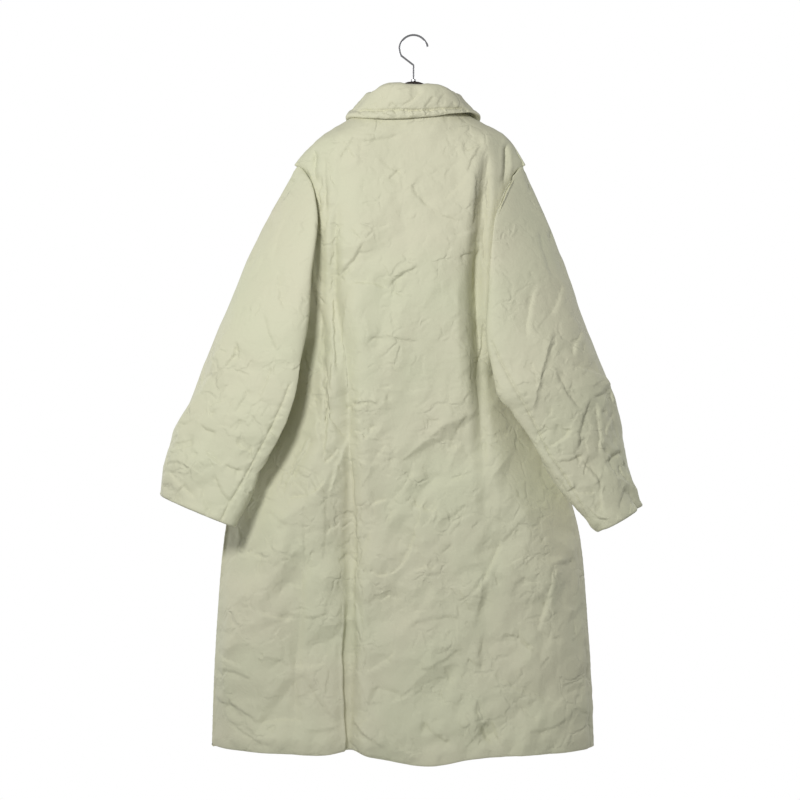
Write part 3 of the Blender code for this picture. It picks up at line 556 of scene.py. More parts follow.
def small_creases(low, high, count, seed, depth):
    """Short creases by lot over a rectangle in millimetres."""
    rng = np.random.default_rng(seed)
    middle = rng.uniform(low, high, (count, 2))
    length = np.clip(rng.lognormal(LENGTH_LOG, LENGTH_SPREAD, count), SHORTEST, LONGEST)
    angle = rng.normal(math.degrees(DIAGONAL), ANGLE_SPREAD, count)
    angle += CROSSING_ANGLE * (rng.random(count) < CROSSING_SHARE)
    half = length[:, None] / 2 * np.column_stack([np.cos(np.radians(angle)), np.sin(np.radians(angle))])
    start, end = middle - half, middle + half
    return {"x0": start[:, 0], "z0": start[:, 1], "x1": end[:, 0], "z1": end[:, 1],
            "bow": rng.normal(0, BOW_SPREAD, count) * length,
            "depth": rng.uniform(*depth, count) * np.where(rng.random(count) < RIDGE_SHARE, RIDGE_DEPTH, 1),
            "width": rng.uniform(*SMALL_WIDTHS, count)}

# %% [markdown]
# ## Creases one by one
#
# The creases that catch the eye are placed one by one. Each runs from one place to another
# in a shallow bow. Across it the cloth drops sharply on one flank and rises gently on the
# other, so that the light draws a thin dark line beside a broad bright one. A negative depth
# makes a ridge. A slight zigzag of the places breaks every line into short straight runs, as
# in creased paper.

# %% Creases one by one
# Half widths of the two flanks as shares of the crease's own, and how far they are followed.
STEEP_FLANK, SOFT_FLANK, FLANK_REACH = 0.40, 3.8, 4
# Height, place and width of the small rise beyond the steep flank.
LIP, LIP_OUT, LIP_WIDTH = 0.14, 2.4, 1.3
# A crease begins with a part of its depth and reaches all of it on a quarter of its length.
CREASE_END, CREASE_START = 4.0, 0.2
# Zigzags of the lines: how far they go aside and how long their steps are, in millimetres.
ZIGZAGS = ((1.7, 15.0), (0.9, 6.5))
# Slow waves that make the steps uneven, across and along: their heights and lengths in steps.
WAVE_HEIGHTS, WAVE_LENGTHS = (0.8, 0.6), (2.3, 3.1)


def kinks(mm):
    """A zigzag shift in millimetres that breaks smooth lines into short straight runs."""
    total = np.zeros_like(mm)
    for size, step in ZIGZAGS:
        phase = (WAVE_HEIGHTS[0] * np.sin(mm[:, ::-1] / (WAVE_LENGTHS[0] * step))
                 + WAVE_HEIGHTS[1] * np.sin(mm / (WAVE_LENGTHS[1] * step)))
        total += size * (np.abs((mm[:, ::-1] / step + phase) % 2 - 1) - 0.5)
    return total


def crease_heights(xz, creases, alternate=True):
    """Sum of the creases of a table in millimetres: ends, bow, depth and half width.

    The steep flank lies left of the way from start to end, or on either side in turn.
    """
    mm = xz * 1000
    mm += kinks(mm)
    total = np.zeros(len(xz))
    for i, (x0, z0, x1, z1, bow, depth, width) in enumerate(zip(*creases.values())):
        reach = FLANK_REACH * SOFT_FLANK * width + abs(bow)
        box = ((mm[:, 0] > min(x0, x1) - reach) & (mm[:, 0] < max(x0, x1) + reach)
               & (mm[:, 1] > min(z0, z1) - reach) & (mm[:, 1] < max(z0, z1) + reach))
        near = np.nonzero(box)[0]
        run = np.array([x1 - x0, z1 - z0])
        length = np.linalg.norm(run)
        run = run / length
        off = mm[near] - (x0, z0)
        along = off @ run / length
        across = (off @ (-run[1], run[0]) - bow * 4 * along * (1 - along)) / width
        across = -across if alternate and i % 2 == 0 else across
        fade = (smooth_step(along * CREASE_END + CREASE_START)
                * smooth_step((1 - along) * CREASE_END + CREASE_START))
        flanks = np.exp(-np.abs(across) / np.where(across > 0, STEEP_FLANK, SOFT_FLANK))
        lip = LIP * bulge(across / STEEP_FLANK, LIP_OUT, LIP_WIDTH)
        total[near] += depth * (lip - flanks) * fade
    return total / 1000

# %% [markdown]
# ## Valleys and folds
#
# Longer valleys follow a route of several places and have a low bank on both sides. A fold
# has a crest and a steep drop on one side only.

# %% Valleys and folds
# Height, place and width of the bank beside a groove and of the crest beside a fold.
BANK, BANK_OUT, BANK_WIDTH = 0.3, 2.6, 1.2
CREST, CREST_OUT, CREST_WIDTH = 0.45, 2.6, 1.4
# A fold ends at its lower end over this height.
FOLD_END = 0.01


def route_distance(xz, route):
    """Distance from a route, and distance travelled along it, at each place."""
    points = np.array(route)
    best, travelled, gone = np.full(len(xz), 1e9), np.zeros(len(xz)), 0.0
    for a, b in zip(points, points[1:]):
        run = b - a
        length = np.linalg.norm(run)
        share = np.clip((xz - a) @ run / length ** 2, 0, 1)
        distance = np.linalg.norm(xz - (a + share[:, None] * run), axis=1)
        closer = distance < best
        best = np.where(closer, distance, best)
        travelled = np.where(closer, gone + share * length, travelled)
        gone += length
    return best, travelled, gone


def groove_heights(xz, route, depth, width, fade):
    """A valley with a crisp bottom along a route, fading out at both ends."""
    distance, travelled, length = route_distance(xz, route)
    ends = smooth_step(travelled / fade) * smooth_step((length - travelled) / fade)
    return depth * ends * (BANK * bulge(distance / width, BANK_OUT, BANK_WIDTH) - np.exp(-distance / width))


def fold_heights(xz, route, depth, steep, soft, fade):
    """A long fold that runs down: a crest and a steep drop on its +X side, a soft rise on the other."""
    points = np.array(route)
    off = xz[:, 0] - np.interp(-xz[:, 1], -points[:, 1], points[:, 0])
    down = (points[0, 1] - xz[:, 1]) / fade
    ends = smooth_step(down) * smooth_step((xz[:, 1] - points[-1, 1]) / FOLD_END + 1)
    flanks = np.exp(-np.abs(off) / np.where(off > 0, steep, soft))
    crest = CREST * bulge(off / steep, CREST_OUT, CREST_WIDTH)
    return depth * ends * (crest - flanks)

# %% [markdown]
# ## Seams
#
# A seam is a narrow groove with small puckers beside it.

# %% Seams
SEAM_GROOVE, SEAM_WIDTH = 0.0034, 0.0019
PUCKER, PUCKER_PITCH, PUCKER_REACH = 0.0012, 0.013, 0.010
# Waves a pitch that make the puckers uneven, and the limits of their heights and shifts.
PUCKER_WAVES = (2.3, 3.9, 6.1)
WAVE_SHARES, WAVE_SHIFTS = (0.3, 1.0), (0, 6)


def seam_heights(xz, route, seed):
    """A seam that shows: a narrow groove with small puckers, uneven along it."""
    distance, travelled, _ = route_distance(xz, route)
    rng = np.random.default_rng(seed)
    wobble = sum(rng.uniform(*WAVE_SHARES) * np.sin(travelled / PUCKER_PITCH * f
                                                    + rng.uniform(*WAVE_SHIFTS))
                 for f in PUCKER_WAVES) / 2
    return (-SEAM_GROOVE * np.exp(-distance / SEAM_WIDTH)
            + PUCKER * wobble * np.exp(-(distance / PUCKER_REACH) ** 2))

# %% [markdown]
# ## From a peeled sheet to a piece of the coat
#
# One function makes every panel and sleeve. The hem or the cuff is turned round a small
# bag, and the sheet gets its thickness inwards while it is still smooth. Then each point
# moves along the surface's own normal by the sum of facets, creases and seams. Its steps
# come first, each in a cell of its own.

# %% [markdown]
# ### Sewn edges
#
# Sewn edges stay where their neighbours meet them: there the relief fades out, the padded
# cloth rolls in to the seam, and small puckers run across it. The edge itself goes a
# millimetre past the seam, which is hidden inside.

# %% Sewn edges
SEAM_STEP = 0.0012
SEAM_LAP = 0.0012
SEAM_ROLL, SEAM_ROLL_WIDTH = 0.0013, 0.0030
SEAM_PUFF, SEAM_PUFF_OUT, SEAM_PUFF_WIDTH = 0.0012, 0.011, 0.007
SEAM_PUCKER, SEAM_PUCKER_PITCH, SEAM_PUCKER_START = 0.0020, 0.013, 0.003


def sewn_places(bm, loop):
    """Close-set places along the edges that are sewn to a neighbour, as a tree."""
    found = []
    for edge in bm.edges:
        if edge.is_boundary and edge not in loop:
            a, b = (vert.co for vert in edge.verts)
            steps = max(2, int(edge.calc_length() / SEAM_STEP))
            found += [a.lerp(b, i / steps) for i in range(steps)]
    tree = kdtree.KDTree(len(found))
    for i, co in enumerate(found):
        tree.insert(co, i)
    tree.balance()
    return tree


def lap_seams(bm, loop):
    """Moves each sewn edge a little past its line, so that no light shows through the seam."""
    moves = {}
    for vert in {vert for edge in bm.edges if edge.is_boundary and edge not in loop for vert in edge.verts}:
        inner = [edge.other_vert(vert).co for edge in vert.link_edges if not edge.is_boundary]
        if inner:
            moves[vert] = (vert.co - sum(inner, Vector()) / len(inner)).normalized() * SEAM_LAP
    for vert, move in moves.items():
        vert.co += move


def seam_edge_heights(away, nearest):
    """The roll-in of padded cloth at a sewn edge, and the puckers that run across it."""
    pucker = np.array([noise.noise(co / SEAM_PUCKER_PITCH) for co in nearest])
    return (-SEAM_ROLL * np.exp(-away / SEAM_ROLL_WIDTH)
            + SEAM_PUFF * bulge(away, SEAM_PUFF_OUT, SEAM_PUFF_WIDTH)
            + SEAM_PUCKER * pucker * np.exp(-away / SEAM_PUFF_OUT) * np.clip(away / SEAM_PUCKER_START, 0, 1))

# %% [markdown]
# ### Turned edges
#
# A hem or a cuff is turned in a half round and goes up again inside. Each new point keeps the
# point that it was made from, to follow its relief.

# %% Turned edges
TURN_RADIUS = 0.0034
TURN_ANGLES = (40, 80, 120, 160, 180)
TURN_UP = 0.012


def turn_edge(bm, loop):
    """Turns a free edge: round, in and up again inside. Gives each new point's source."""
    place, source, edges, origins = {}, {}, loop, {}
    for vert in {vert for edge in loop for vert in edge.verts}:
        inner = [edge.other_vert(vert).co for edge in vert.link_edges if not edge.is_boundary]
        along = (vert.co - sum(inner, Vector()) / max(len(inner), 1)).normalized()
        into = -vert.normal
        place[vert] = (vert.co.copy(), along, (into - along * into.dot(along)).normalized())
        source[vert] = vert
    for turn in (*TURN_ANGLES, None):
        made = bmesh.ops.extrude_edge_only(bm, edges=edges)["geom"]
        fresh = {item for item in made if isinstance(item, bmesh.types.BMVert)}
        now = {}
        for vert in fresh:
            old = next(e.other_vert(vert) for e in vert.link_edges if e.other_vert(vert) in source)
            now[vert] = source[old]
        edges = [item for item in made if isinstance(item, bmesh.types.BMEdge)
                 and all(vert in fresh for vert in item.verts)]
        for vert in fresh:
            start, along, into = place[now[vert]]
            angle = math.radians(180 if turn is None else turn)
            vert.co = start + TURN_RADIUS * (along * math.sin(angle) + into * (1 - math.cos(angle)))
            if turn is None:
                vert.co -= along * TURN_UP
        origins.update(now)
        source = now
    return origins

# %% [markdown]
# ### Soft padding
#
# The inner face follows more softly than the outer one, as padding does, and no step of the
# relief is steeper than cloth can stand.

# %% Soft padding
STEEPEST = 1.10
EASING_ROUNDS = 14


def softened(values, ends, rounds):
    """Values at the points of a mesh, averaged with their neighbours' some times."""
    one, two = ends.T
    count = np.bincount(ends.ravel(), minlength=len(values)).clip(1)
    for _ in range(rounds):
        total = np.bincount(one, values[two], len(values)) + np.bincount(two, values[one], len(values))
        values = 0.5 * values + 0.5 * total / count
    return values


def eased(height, points, ends):
    """Heights with no step between neighbours steeper than the cloth can stand."""
    one, two = ends.T
    limit = STEEPEST * np.linalg.norm(points[one] - points[two], axis=1)
    for _ in range(EASING_ROUNDS):
        step = height[one] - height[two]
        over = np.sign(step) * np.clip(np.abs(step) - limit, 0, None)
        count = np.bincount(ends[over != 0].ravel(), minlength=len(height)).clip(1)
        shift = np.bincount(two, over, len(height)) - np.bincount(one, over, len(height))
        height = height + 0.5 * shift / count
    return height

# %% [markdown]
# ### Cloth piece
#
# Now the steps are put together. At the end a piece gets its finish, is fixed to the part's
# body and takes the place of the plain one.

# %% Cloth piece
CLOTH_THICKNESS = 0.0042
THINNEST = 0.0016
INSIDE_SOFTENING = 14
SEAM_FADE = 0.009
# Share of the thickness in a turned edge, and how level the edges of a hem or a cuff are.
THIN_SHARE = 0.25
LEVEL_SHARE = 0.75


def cloth_piece(node, aim, heights, is_free, tolerance):
    """Crumpled cloth over a CAD node. heights is a function of places and normals."""
    bm = rounded(outer_layer(node, Vector(aim)), node)

    def free_loop():
        """The edges of the hem or the cuff."""
        return [e for e in bm.edges if e.is_boundary and all(is_free(v.co) for v in e.verts)
                and abs(e.verts[0].co.z - e.verts[1].co.z) < LEVEL_SHARE * e.calc_length()]

    tree = sewn_places(bm, set(free_loop()))

    def relief(points, normals):
        """The piece's own relief, which fades out at sewn edges, and theirs."""
        found = [tree.find(point) for point in points.tolist()]
        away = np.array([hit[2] for hit in found])
        return (heights(points, normals) * smooth_step(away / SEAM_FADE)
                + seam_edge_heights(away, [hit[0] for hit in found]))

    height = refine(bm, relief, tolerance)
    points, normals, ends = places(bm)
    height = eased(height, points, ends)
    soft = np.minimum(softened(height, ends, INSIDE_SOFTENING), height + CLOTH_THICKNESS - THINNEST)
    bm.normal_update()
    bm.verts.index_update()
    index_of = {vert: vert.index for vert in bm.verts}
    loop = free_loop()
    lap_seams(bm, set(loop))
    edge_verts = {vert.index for edge in loop for vert in edge.verts}
    origins = turn_edge(bm, loop)
    bm.verts.index_update()
    source = np.arange(len(bm.verts))
    for vert, start in origins.items():
        source[vert.index] = index_of[start]
    thin = [vert.index for vert in origins] + sorted(edge_verts)
    mesh = bpy.data.meshes.new(node + "_cloth")
    bm.to_mesh(mesh)
    bm.free()
    outer, inner = (normals * height[:, None])[source], (normals * soft[:, None])[source]
    inner[len(points):] = outer[len(points):]
    print(node, "triangles in one layer:", len(mesh.polygons),
          "relief mm:", round(1000 * height.min(), 1), "to", round(1000 * height.max(), 1))
    return thicken(mesh, node, thin, np.concatenate([outer, inner]))


def thicken(mesh, node, thin, moves):
    """Gives a sheet its wall, thinner in the turned edge, and then its relief."""
    obj = bpy.data.objects.new(node + "_cloth", mesh)
    SCENE.collection.objects.link(obj)
    group = obj.vertex_groups.new(name="wall")
    group.add(range(len(mesh.vertices)), 1.0, "REPLACE")
    group.add(thin, THIN_SHARE, "REPLACE")
    wall = obj.modifiers.new("wall", "SOLIDIFY")
    wall.thickness = CLOTH_THICKNESS
    wall.offset = -1
    wall.vertex_group = "wall"
    graph = bpy.context.evaluated_depsgraph_get()
    done = bpy.data.meshes.new_from_object(obj.evaluated_get(graph))
    obj.modifiers.clear()
    obj.vertex_groups.clear()
    obj.data = done
    smooth = np.empty(len(done.vertices) * 3)
    done.vertices.foreach_get("co", smooth)
    done.vertices.foreach_set("co", smooth + moves.ravel())
    done.update()
    done.shade_smooth()
    dress(obj, CLOTH, "cloth", node)
    return obj


def dress(obj, material, slot, *nodes):
    """Gives a piece its finish, fixes it to the part's body and hides the plain nodes that it replaces."""
    obj.data.materials.clear()
    obj.data.materials.append(material)
    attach(obj, "root")
    if nodes:
        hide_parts(*nodes)
    obj.data.calc_loop_triangles()
    print(obj.name, "triangles:", len(obj.data.loop_triangles))

# %% [markdown]
# ## The back
#
# The back is one panel. Two long valleys run down from the shoulder blades, with tucks of
# loose cloth beside the left one and a long fold below it. Short diagonal creases cross the
# upper back, two level ones cross the waist, and more of all sizes cover the skirt. First
# come its creases and tucks.

# %% Creases of the back
# Creases of the back, in millimetres: from, to, bow, depth and half width.
BACK_CREASES = table(
    "x0 z0 x1 z1 bow depth width",
    (130, -412, 84, -355, 5, 4.5, 4.5), (114, -424, 40, -434, -7, 3.5, 4.5),
    (44, -434, -10, -396, -6, 3.5, 5), (60, -448, 18, -440, -4, 1.6, 4), (106, -332, 88, -352, 0, 2, 4),
    (84, -333, 36, -322, 3, 1.8, 5), (122, -176, 98, -218, 0, 2.4, 5), (98, -178, 124, -214, 0, 2.2, 5),
    (104, -184, 18, -170, 6, 2.6, 6), (60, -214, 22, -240, 0, 1.8, 4), (42, -248, 24, -232, 0, 2.4, 4),
    (4, -254, -28, -296, 5, 2.4, 5), (-28, -296, -80, -320, 5, 2.2, 5), (-48, -284, -92, -236, 4, 2, 5),
    (-90, -238, -116, -190, -3, 2.4, 5), (-84, -200, -118, -186, 0, 3.2, 5),
    (-78, -380, -106, -371, 0, 2.6, 4), (-62, -340, -104, -330, 4, 2, 5), (84, -516, -12, -523, -3, 2.2, 4),
    (78, -530, 54, -532, 0, 1.2, 3.5), (70, -600, 12, -604, -2, -1.8, 4), (12, -604, -24, -598, 0, 1.5, 4),
    (104, -628, 76, -622, 6, -2.2, 4.5), (100, -646, 72, -676, -5, 2.2, 4.5),
    (72, -660, 58, -668, 0, 1.6, 4), (66, -676, 30, -708, -4, 1.6, 5), (67, -790, 66, -818, 0, 1.5, 4),
    (16, -780, -34, -806, 5, 2.2, 5), (-40, -820, -92, -790, 6, 2, 6), (30, -845, -10, -870, 4, 1.8, 6),
    (-74, -932, -100, -976, 3, 2.4, 5), (-97, -945, -146, -848, 5, 4, 7),
    (-146, -858, -178, -820, 3, 2.8, 5), (-204, -1010, -236, -886, 4, 4.2, 7),
    (-228, -893, -276, -888, 3, 3.2, 6), (-130, -1072, -238, -1122, 5, 4.2, 7),
    (-150, -1010, -196, -1032, -5, 3.4, 6), (-168, -1000, -214, -1046, 4, 2.8, 6),
    (-206, -1004, -250, -1018, 3, 2.4, 5), (-96, -1000, -112, -905, 6, -2.8, 9),
    (-116, -1084, -118, -1010, -4, 2.6, 8), (-8, -1068, -78, -1028, 5, -2.6, 6),
    (-88, -1048, -120, -1064, 4, 2.6, 5), (-52, -1062, -62, -1090, 0, 2.4, 4),
    (12, -1000, -84, -984, -8, 2.6, 7), (262, -968, 198, -984, 4, 3.6, 6), (190, -982, 138, -974, 5, 2.6, 6),
    (204, -1060, 142, -1052, 6, 2.8, 7), (256, -1052, 204, -1066, -5, 2.4, 7),
    (330, -1040, 282, -1062, 5, 2.8, 6), (334, -1076, 268, -1088, -6, 3, 6),
    (322, -1092, 286, -1148, 6, -3.2, 7), (340, -1128, 262, -1160, -8, 3.8, 6),
    (262, -1160, 184, -1154, -6, 3.4, 6), (186, -1072, 122, -1160, 7, 2.8, 7),
    (182, -1166, 120, -1158, 5, -3, 8), (312, -1160, 240, -1196, 4, 3.2, 6),
    (104, -1148, 46, -1196, 5, -4.2, 5), (60, -1168, -6, -1214, 6, -3, 6), (88, -1070, 30, -1036, 6, 2.4, 6),
    (70, -1100, 20, -1112, -4, 2, 5), (40, -1120, 0, -1098, 4, 2.2, 5), (-14, -1150, -62, -1190, 6, 3, 7),
    (-106, -1118, -130, -1190, 8, 4.6, 9), (-128, -1150, -150, -1196, 4, 3.4, 6),
    (-170, -1120, -208, -1150, 5, 3, 7), (-190, -1172, -262, -1150, 6, 3.2, 6),
    (-220, -1140, -288, -1100, -6, 2.6, 7), (184, -350, 150, -500, 4, 3.2, 6),
    (156, -452, 148, -668, 3, 4.2, 6), (178, -672, 226, -784, 4, 4.6, 7), (148, -620, 112, -680, 5, 3.4, 6),
    (160, -560, 138, -640, -4, -3, 6), (170, -600, 150, -700, 3, 3, 6), (150, -700, 118, -740, -5, 3, 7),
    (172, -730, 130, -790, 4, 2.6, 7), (250, -800, 206, -830, 4, 2.6, 7), (300, -860, 250, -880, 6, 2.4, 8),
    (240, -900, 180, -880, -6, 2.2, 8), (60, -900, -20, -930, 8, 1.8, 8), (80, -960, 20, -946, -6, 2, 7),
    (-240, -950, -280, -970, 4, 2.2, 6), (-60, -700, -96, -640, -5, 2, 6),
    (-50, -760, -100, -720, 5, 1.8, 6), (146, -260, 162, -330, 4, 3, 6), (170, -240, 150, -290, -3, 2.6, 5),
    (134, -290, 150, -330, 0, 2.4, 5))
# Tucks of loose cloth beside the left valley and at the armpits, in the same columns. The
# steep flank lies left of the way from start to end.
TUCKS = table(
    "x0 z0 x1 z1 bow depth width",
    (152, -722, 151, -537, 5, 5, 4), (133, -440, 128, -575, 2, 4, 3.5), (113, -440, 123, -560, -2, -3, 4.5),
    (174, -676, 212, -750, -3, 4.5, 4), (150, -726, 125, -698, 2, 4, 3.5), (149, -500, 152, -545, 2, 3, 3.5),
    (134, -555, 139, -604, 2, -3, 3), (108, -680, 140, -788, 4, -3.6, 5), (106, -1000, 105, -690, 3, 4, 3.5),
    (107, -936, 88, -1030, -3, 3.4, 4), (210, -780, 176, -775, 2, 3, 3.5),
    (176, -776, 148, -750, 3, 3.4, 3.5), (182, -783, 180, -925, 3, 2.4, 5), (148, -765, 150, -890, -3, 2, 5),
    (139, -834, 118, -824, 2, 2.6, 3.5), (110, -634, 96, -622, 3, 3.4, 3), (98, -622, 58, -625, -3, -3, 3.5),
    (99, -668, 79, -685, -3, 3.4, 3.5), (73, -794, 44, -786, -2, 3, 3.5), (49, -800, 0, -730, 5, 2.6, 6),
    (25, -900, -1, -834, 4, 4, 5), (-1, -834, -9, -800, 2, 2.6, 4), (75, -903, 40, -909, 4, 3, 3.5),
    (40, -909, 24, -894, 2, 3, 3.5), (-3, -901, -22, -893, 2, 2.6, 3.5), (-22, -893, -34, -902, 2, 2.6, 3.5),
    (1, -789, -15, -795, 2, 3, 3), (-15, -795, -27, -802, 2, 3, 3), (-27, -802, -39, -796, 2, 2.4, 3),
    (176, -280, 170, -360, 3, 4, 4), (160, -300, 154, -236, -3, 3.6, 3.5), (166, -332, 158, -440, 3, 4, 4),
    (146, -214, 132, -262, 2, 2.4, 3), (-104, -236, -100, -330, -3, 3, 3.5),
    (-112, -360, -104, -440, 3, 3, 4), (-120, -300, -118, -400, 3, 3.4, 4),
    (-126, -240, -124, -300, 2, 3.2, 3.5), (-118, -470, -108, -560, -3, 2.8, 4))

# %% [markdown]
# ### Valleys of the back
#
# Then come the valleys, the fold, the deep folds at the shoulders and the side seam.

# %% Valleys of the back
# Routes of the valleys and the fold that run down the back, in metres.
LEFT_VALLEY = [(0.124, -0.250), (0.131, -0.340), (0.131, -0.470)]
LEFT_FOLD = [(0.107, -0.930), (0.109, -0.990), (0.112, -1.040), (0.113, -1.100), (0.112, -1.150),
             (0.111, -1.215)]
RIGHT_VALLEY = [(-0.122, -0.190), (-0.112, -0.300), (-0.104, -0.400), (-0.106, -0.520), (-0.112, -0.620),
                (-0.120, -0.760)]
SKIRT_LINE = [(0.193, -0.840), (0.188, -0.900), (0.190, -0.980), (0.198, -1.060), (0.199, -1.130),
              (0.196, -1.190)]
# Grooves of the back: route, depth, half width and how long the ends fade. The last four are
# the deep folds at the shoulders.
BACK_GROOVES = (
    (LEFT_VALLEY, 0.0034, 0.0050, 0.10), (RIGHT_VALLEY, 0.0036, 0.0060, 0.10),
    (SKIRT_LINE, 0.0026, 0.0050, 0.08),
    ([(-0.168, -0.170), (-0.157, -0.194), (-0.156, -0.230), (-0.152, -0.262)], 0.0060, 0.0032, 0.03),
    ([(0.172, -0.186), (0.166, -0.205), (0.168, -0.228), (0.166, -0.262)], 0.0060, 0.0032, 0.03),
    ([(0.150, -0.196), (0.152, -0.240), (0.148, -0.320)], 0.0060, 0.0080, 0.03),
    ([(-0.128, -0.196), (-0.121, -0.250), (-0.114, -0.330)], 0.0050, 0.0070, 0.03))
# Depth, steep and soft half width of the fold, and how long its ends fade.
FOLD_SHAPE = (0.0062, 0.0018, 0.0100, 0.09)
SIDE_SEAM = [(-0.262, -0.780), (-0.2725, -0.820), (-0.284, -0.900), (-0.290, -0.990), (-0.297, -1.203)]

# %% [markdown]
# ### Bagged hem
#
# The padding has slipped down and rounds the last few centimetres above the hem.

# %% Bagged hem
HEM_BACK = table(
    "x z",
    (-0.307, -1.203), (-0.200, -1.206), (-0.100, -1.212), (-0.023, -1.225), (0.070, -1.211), (0.108, -1.201),
    (0.140, -1.209), (0.240, -1.204), (0.343, -1.203))
BAG_HEIGHT = 0.030
BAG_SWELL = 0.0030
BAG_MIDDLE, BAG_SPREAD = 0.55, 0.45
# Ripples along a hem: height, waves a metre in radians, and shift.
BAG_RIPPLES = ((0.5, 92, 0.0), (0.35, 171, 1.3))


def hem_bag(points, line):
    """The padding that has slipped down and rounds the last few centimetres above a hem."""
    above = (points[:, 2] - np.interp(points[:, 0], line["x"], line["z"])) / BAG_HEIGHT
    ripple = 1 + sum(high * np.sin(points[:, 0] * waves + start) for high, waves, start in BAG_RIPPLES)
    return BAG_SWELL * ripple * bulge(above, BAG_MIDDLE, BAG_SPREAD)

# %% [markdown]
# ### Back
#
# All of it is added up and makes the piece.

# %% Back
HEM_Z = -1.17
BACK_TOLERANCE = 0.00032
# Where the cloth turns away from the front or the back, it keeps at least this much relief.
LEAST_RELIEF = 0.15
# Facets keep the first share at the top and gain the second one from CALM_Z down.
BACK_CALM, BACK_CALM_GAIN, CALM_Z, CALM_REACH = 0.58, 0.92, -0.30, 0.70
BACK_FACETS = Facets((-0.34, -1.26), (0.36, -0.10), seed=1)
BACK_SMALL = small_creases((-320, -1230), (350, -130), 130, 5, depth=(0.4, 1.2))
SKIRT_SMALL = small_creases((-320, -1230), (350, -540), 300, 6, depth=(0.5, 1.7))
BACK_ALL = joined(BACK_CREASES, BACK_SMALL, SKIRT_SMALL)


def back_heights(points, normals):
    """The relief of the back."""
    xz = points[:, [0, 2]]
    calm = BACK_CALM + BACK_CALM_GAIN * smooth_step((CALM_Z - xz[:, 1]) / CALM_REACH)
    total = calm * BACK_FACETS.heights(xz) + crease_heights(xz, BACK_ALL)
    total += crease_heights(xz, TUCKS, alternate=False)
    total += sum(groove_heights(xz, *groove) for groove in BACK_GROOVES)
    total += fold_heights(xz, LEFT_FOLD, *FOLD_SHAPE)
    total += seam_heights(xz, SIDE_SEAM, 3) + hem_bag(points, HEM_BACK)
    return total * np.clip(normals[:, 1], LEAST_RELIEF, 1.0)


back = cloth_piece("back", (0, 1, 0), back_heights, lambda co: co.z < HEM_Z, BACK_TOLERANCE)

# %% [markdown]
# ## The sleeves
#
# A sleeve is one piece of cloth closed to a tube by the seam under the arm. Its facets are
# laid out on the unrolled tube, with the cut at that seam. The creases that show are on its
# back. The hidden front gets the same ones, shifted, since an arm's cloth folds alike on
# both faces.

# %% Creases of the sleeves
LEFT_SLEEVE_CREASES = table(
    "x0 z0 x1 z1 bow depth width",
    (316, -566, 294, -528, 3, 3.4, 5), (370, -600, 330, -562, 3, 3.2, 5.5),
    (354, -660, 326, -673, 3, 2.8, 5), (409, -700, 362, -690, 3, 3.4, 5), (407, -724, 368, -733, -3, 3, 5),
    (345, -698, 311, -727, 4, 3.2, 5), (314, -725, 284, -735, 2, 2.6, 4.5), (295, -686, 268, -702, 3, 3, 5),
    (272, -698, 264, -720, 2, 2.6, 4.5), (405, -732, 358, -782, 4, 2.8, 6),
    (250, -470, 226, -540, 4, 2.6, 7), (210, -300, 236, -390, 5, 2.4, 8), (280, -420, 250, -370, 4, 2, 7),
    (330, -520, 300, -470, 4, 2.2, 7), (238, -560, 262, -620, -4, 3, 6), (352, -760, 330, -812, 4, 2.6, 6),
    (300, -640, 276, -600, 4, 2.6, 6), (340, -630, 310, -620, -4, 2.2, 5), (390, -660, 360, -650, 3, 2.2, 5),
    (378, -760, 396, -790, 2, 2.6, 5), (330, -740, 300, -790, 5, 2.8, 6), (226, -400, 216, -470, 3, 2.6, 6),
    (200, -250, 222, -232, 3, 2.2, 6), (240, -300, 262, -340, 4, 1.8, 7))
RIGHT_SLEEVE_CREASES = table(
    "x0 z0 x1 z1 bow depth width",
    (-234, -498, -196, -646, 4, -4, 7), (-262, -562, -330, -585, -5, 4.6, 7),
    (-299, -616, -330, -591, 3, 4, 6), (-298, -614, -275, -702, 5, 3.6, 6),
    (-303, -620, -309, -708, -5, 3.6, 6), (-235, -566, -277, -634, 5, 3.6, 6),
    (-233, -660, -262, -668, 2, 2.8, 5), (-219, -695, -260, -667, 4, 3.2, 5),
    (-234, -722, -282, -706, 4, 3.2, 5), (-280, -718, -312, -764, -5, 3.4, 5.5),
    (-311, -762, -310, -803, 3, 3, 5), (-262, -770, -303, -768, 3, 3, 5),
    (-282, -796, -328, -822, 4, 3.2, 5.5), (-316, -696, -352, -712, 3, 3.2, 4.5),
    (-322, -722, -360, -700, -3, 3.2, 4.5), (-330, -706, -346, -748, 3, 3, 4.5),
    (-350, -724, -366, -752, 2, 2.8, 4.5), (-214, -330, -238, -420, 5, 2.6, 8),
    (-250, -420, -226, -480, -4, 2.8, 7), (-196, -250, -226, -270, 4, 2.2, 6),
    (-290, -500, -262, -545, 5, 3, 6), (-250, -300, -232, -350, 4, 2, 7),
    (-340, -640, -322, -676, 3, 2.4, 5), (-360, -760, -340, -800, 3, 2.6, 5),
    (-206, -420, -186, -520, 4, 3, 7), (-226, -760, -250, -800, 4, 2.6, 5))
LEFT_UNDERARM = [(0.206, -0.596), (0.214, -0.618), (0.237, -0.668), (0.263, -0.717), (0.278, -0.746),
                 (0.306, -0.791), (0.324, -0.830)]
RIGHT_UNDERARM = [(-0.129, -0.523), (-0.143, -0.554), (-0.168, -0.600), (-0.195, -0.650), (-0.222, -0.709),
                  (-0.245, -0.741), (-0.268, -0.782), (-0.289, -0.826)]

# %% [markdown]
# ### Sleeves
#
# Each sleeve runs along an axis from the shoulder to the cuff. Round it and along it are the
# two directions of the unrolled tube.

# %% Sleeves
HALF_ROUND = 0.165
LEFT_AXIS = np.array([(0.215, 0.005, -0.330), (0.355, 0.068, -0.800)])
RIGHT_AXIS = np.array([(-0.200, 0.005, -0.330), (-0.340, 0.064, -0.800)])
# The shifts that the hidden front's creases have from those of the back, in millimetres.
FRONT_SHIFT = (14, -22)
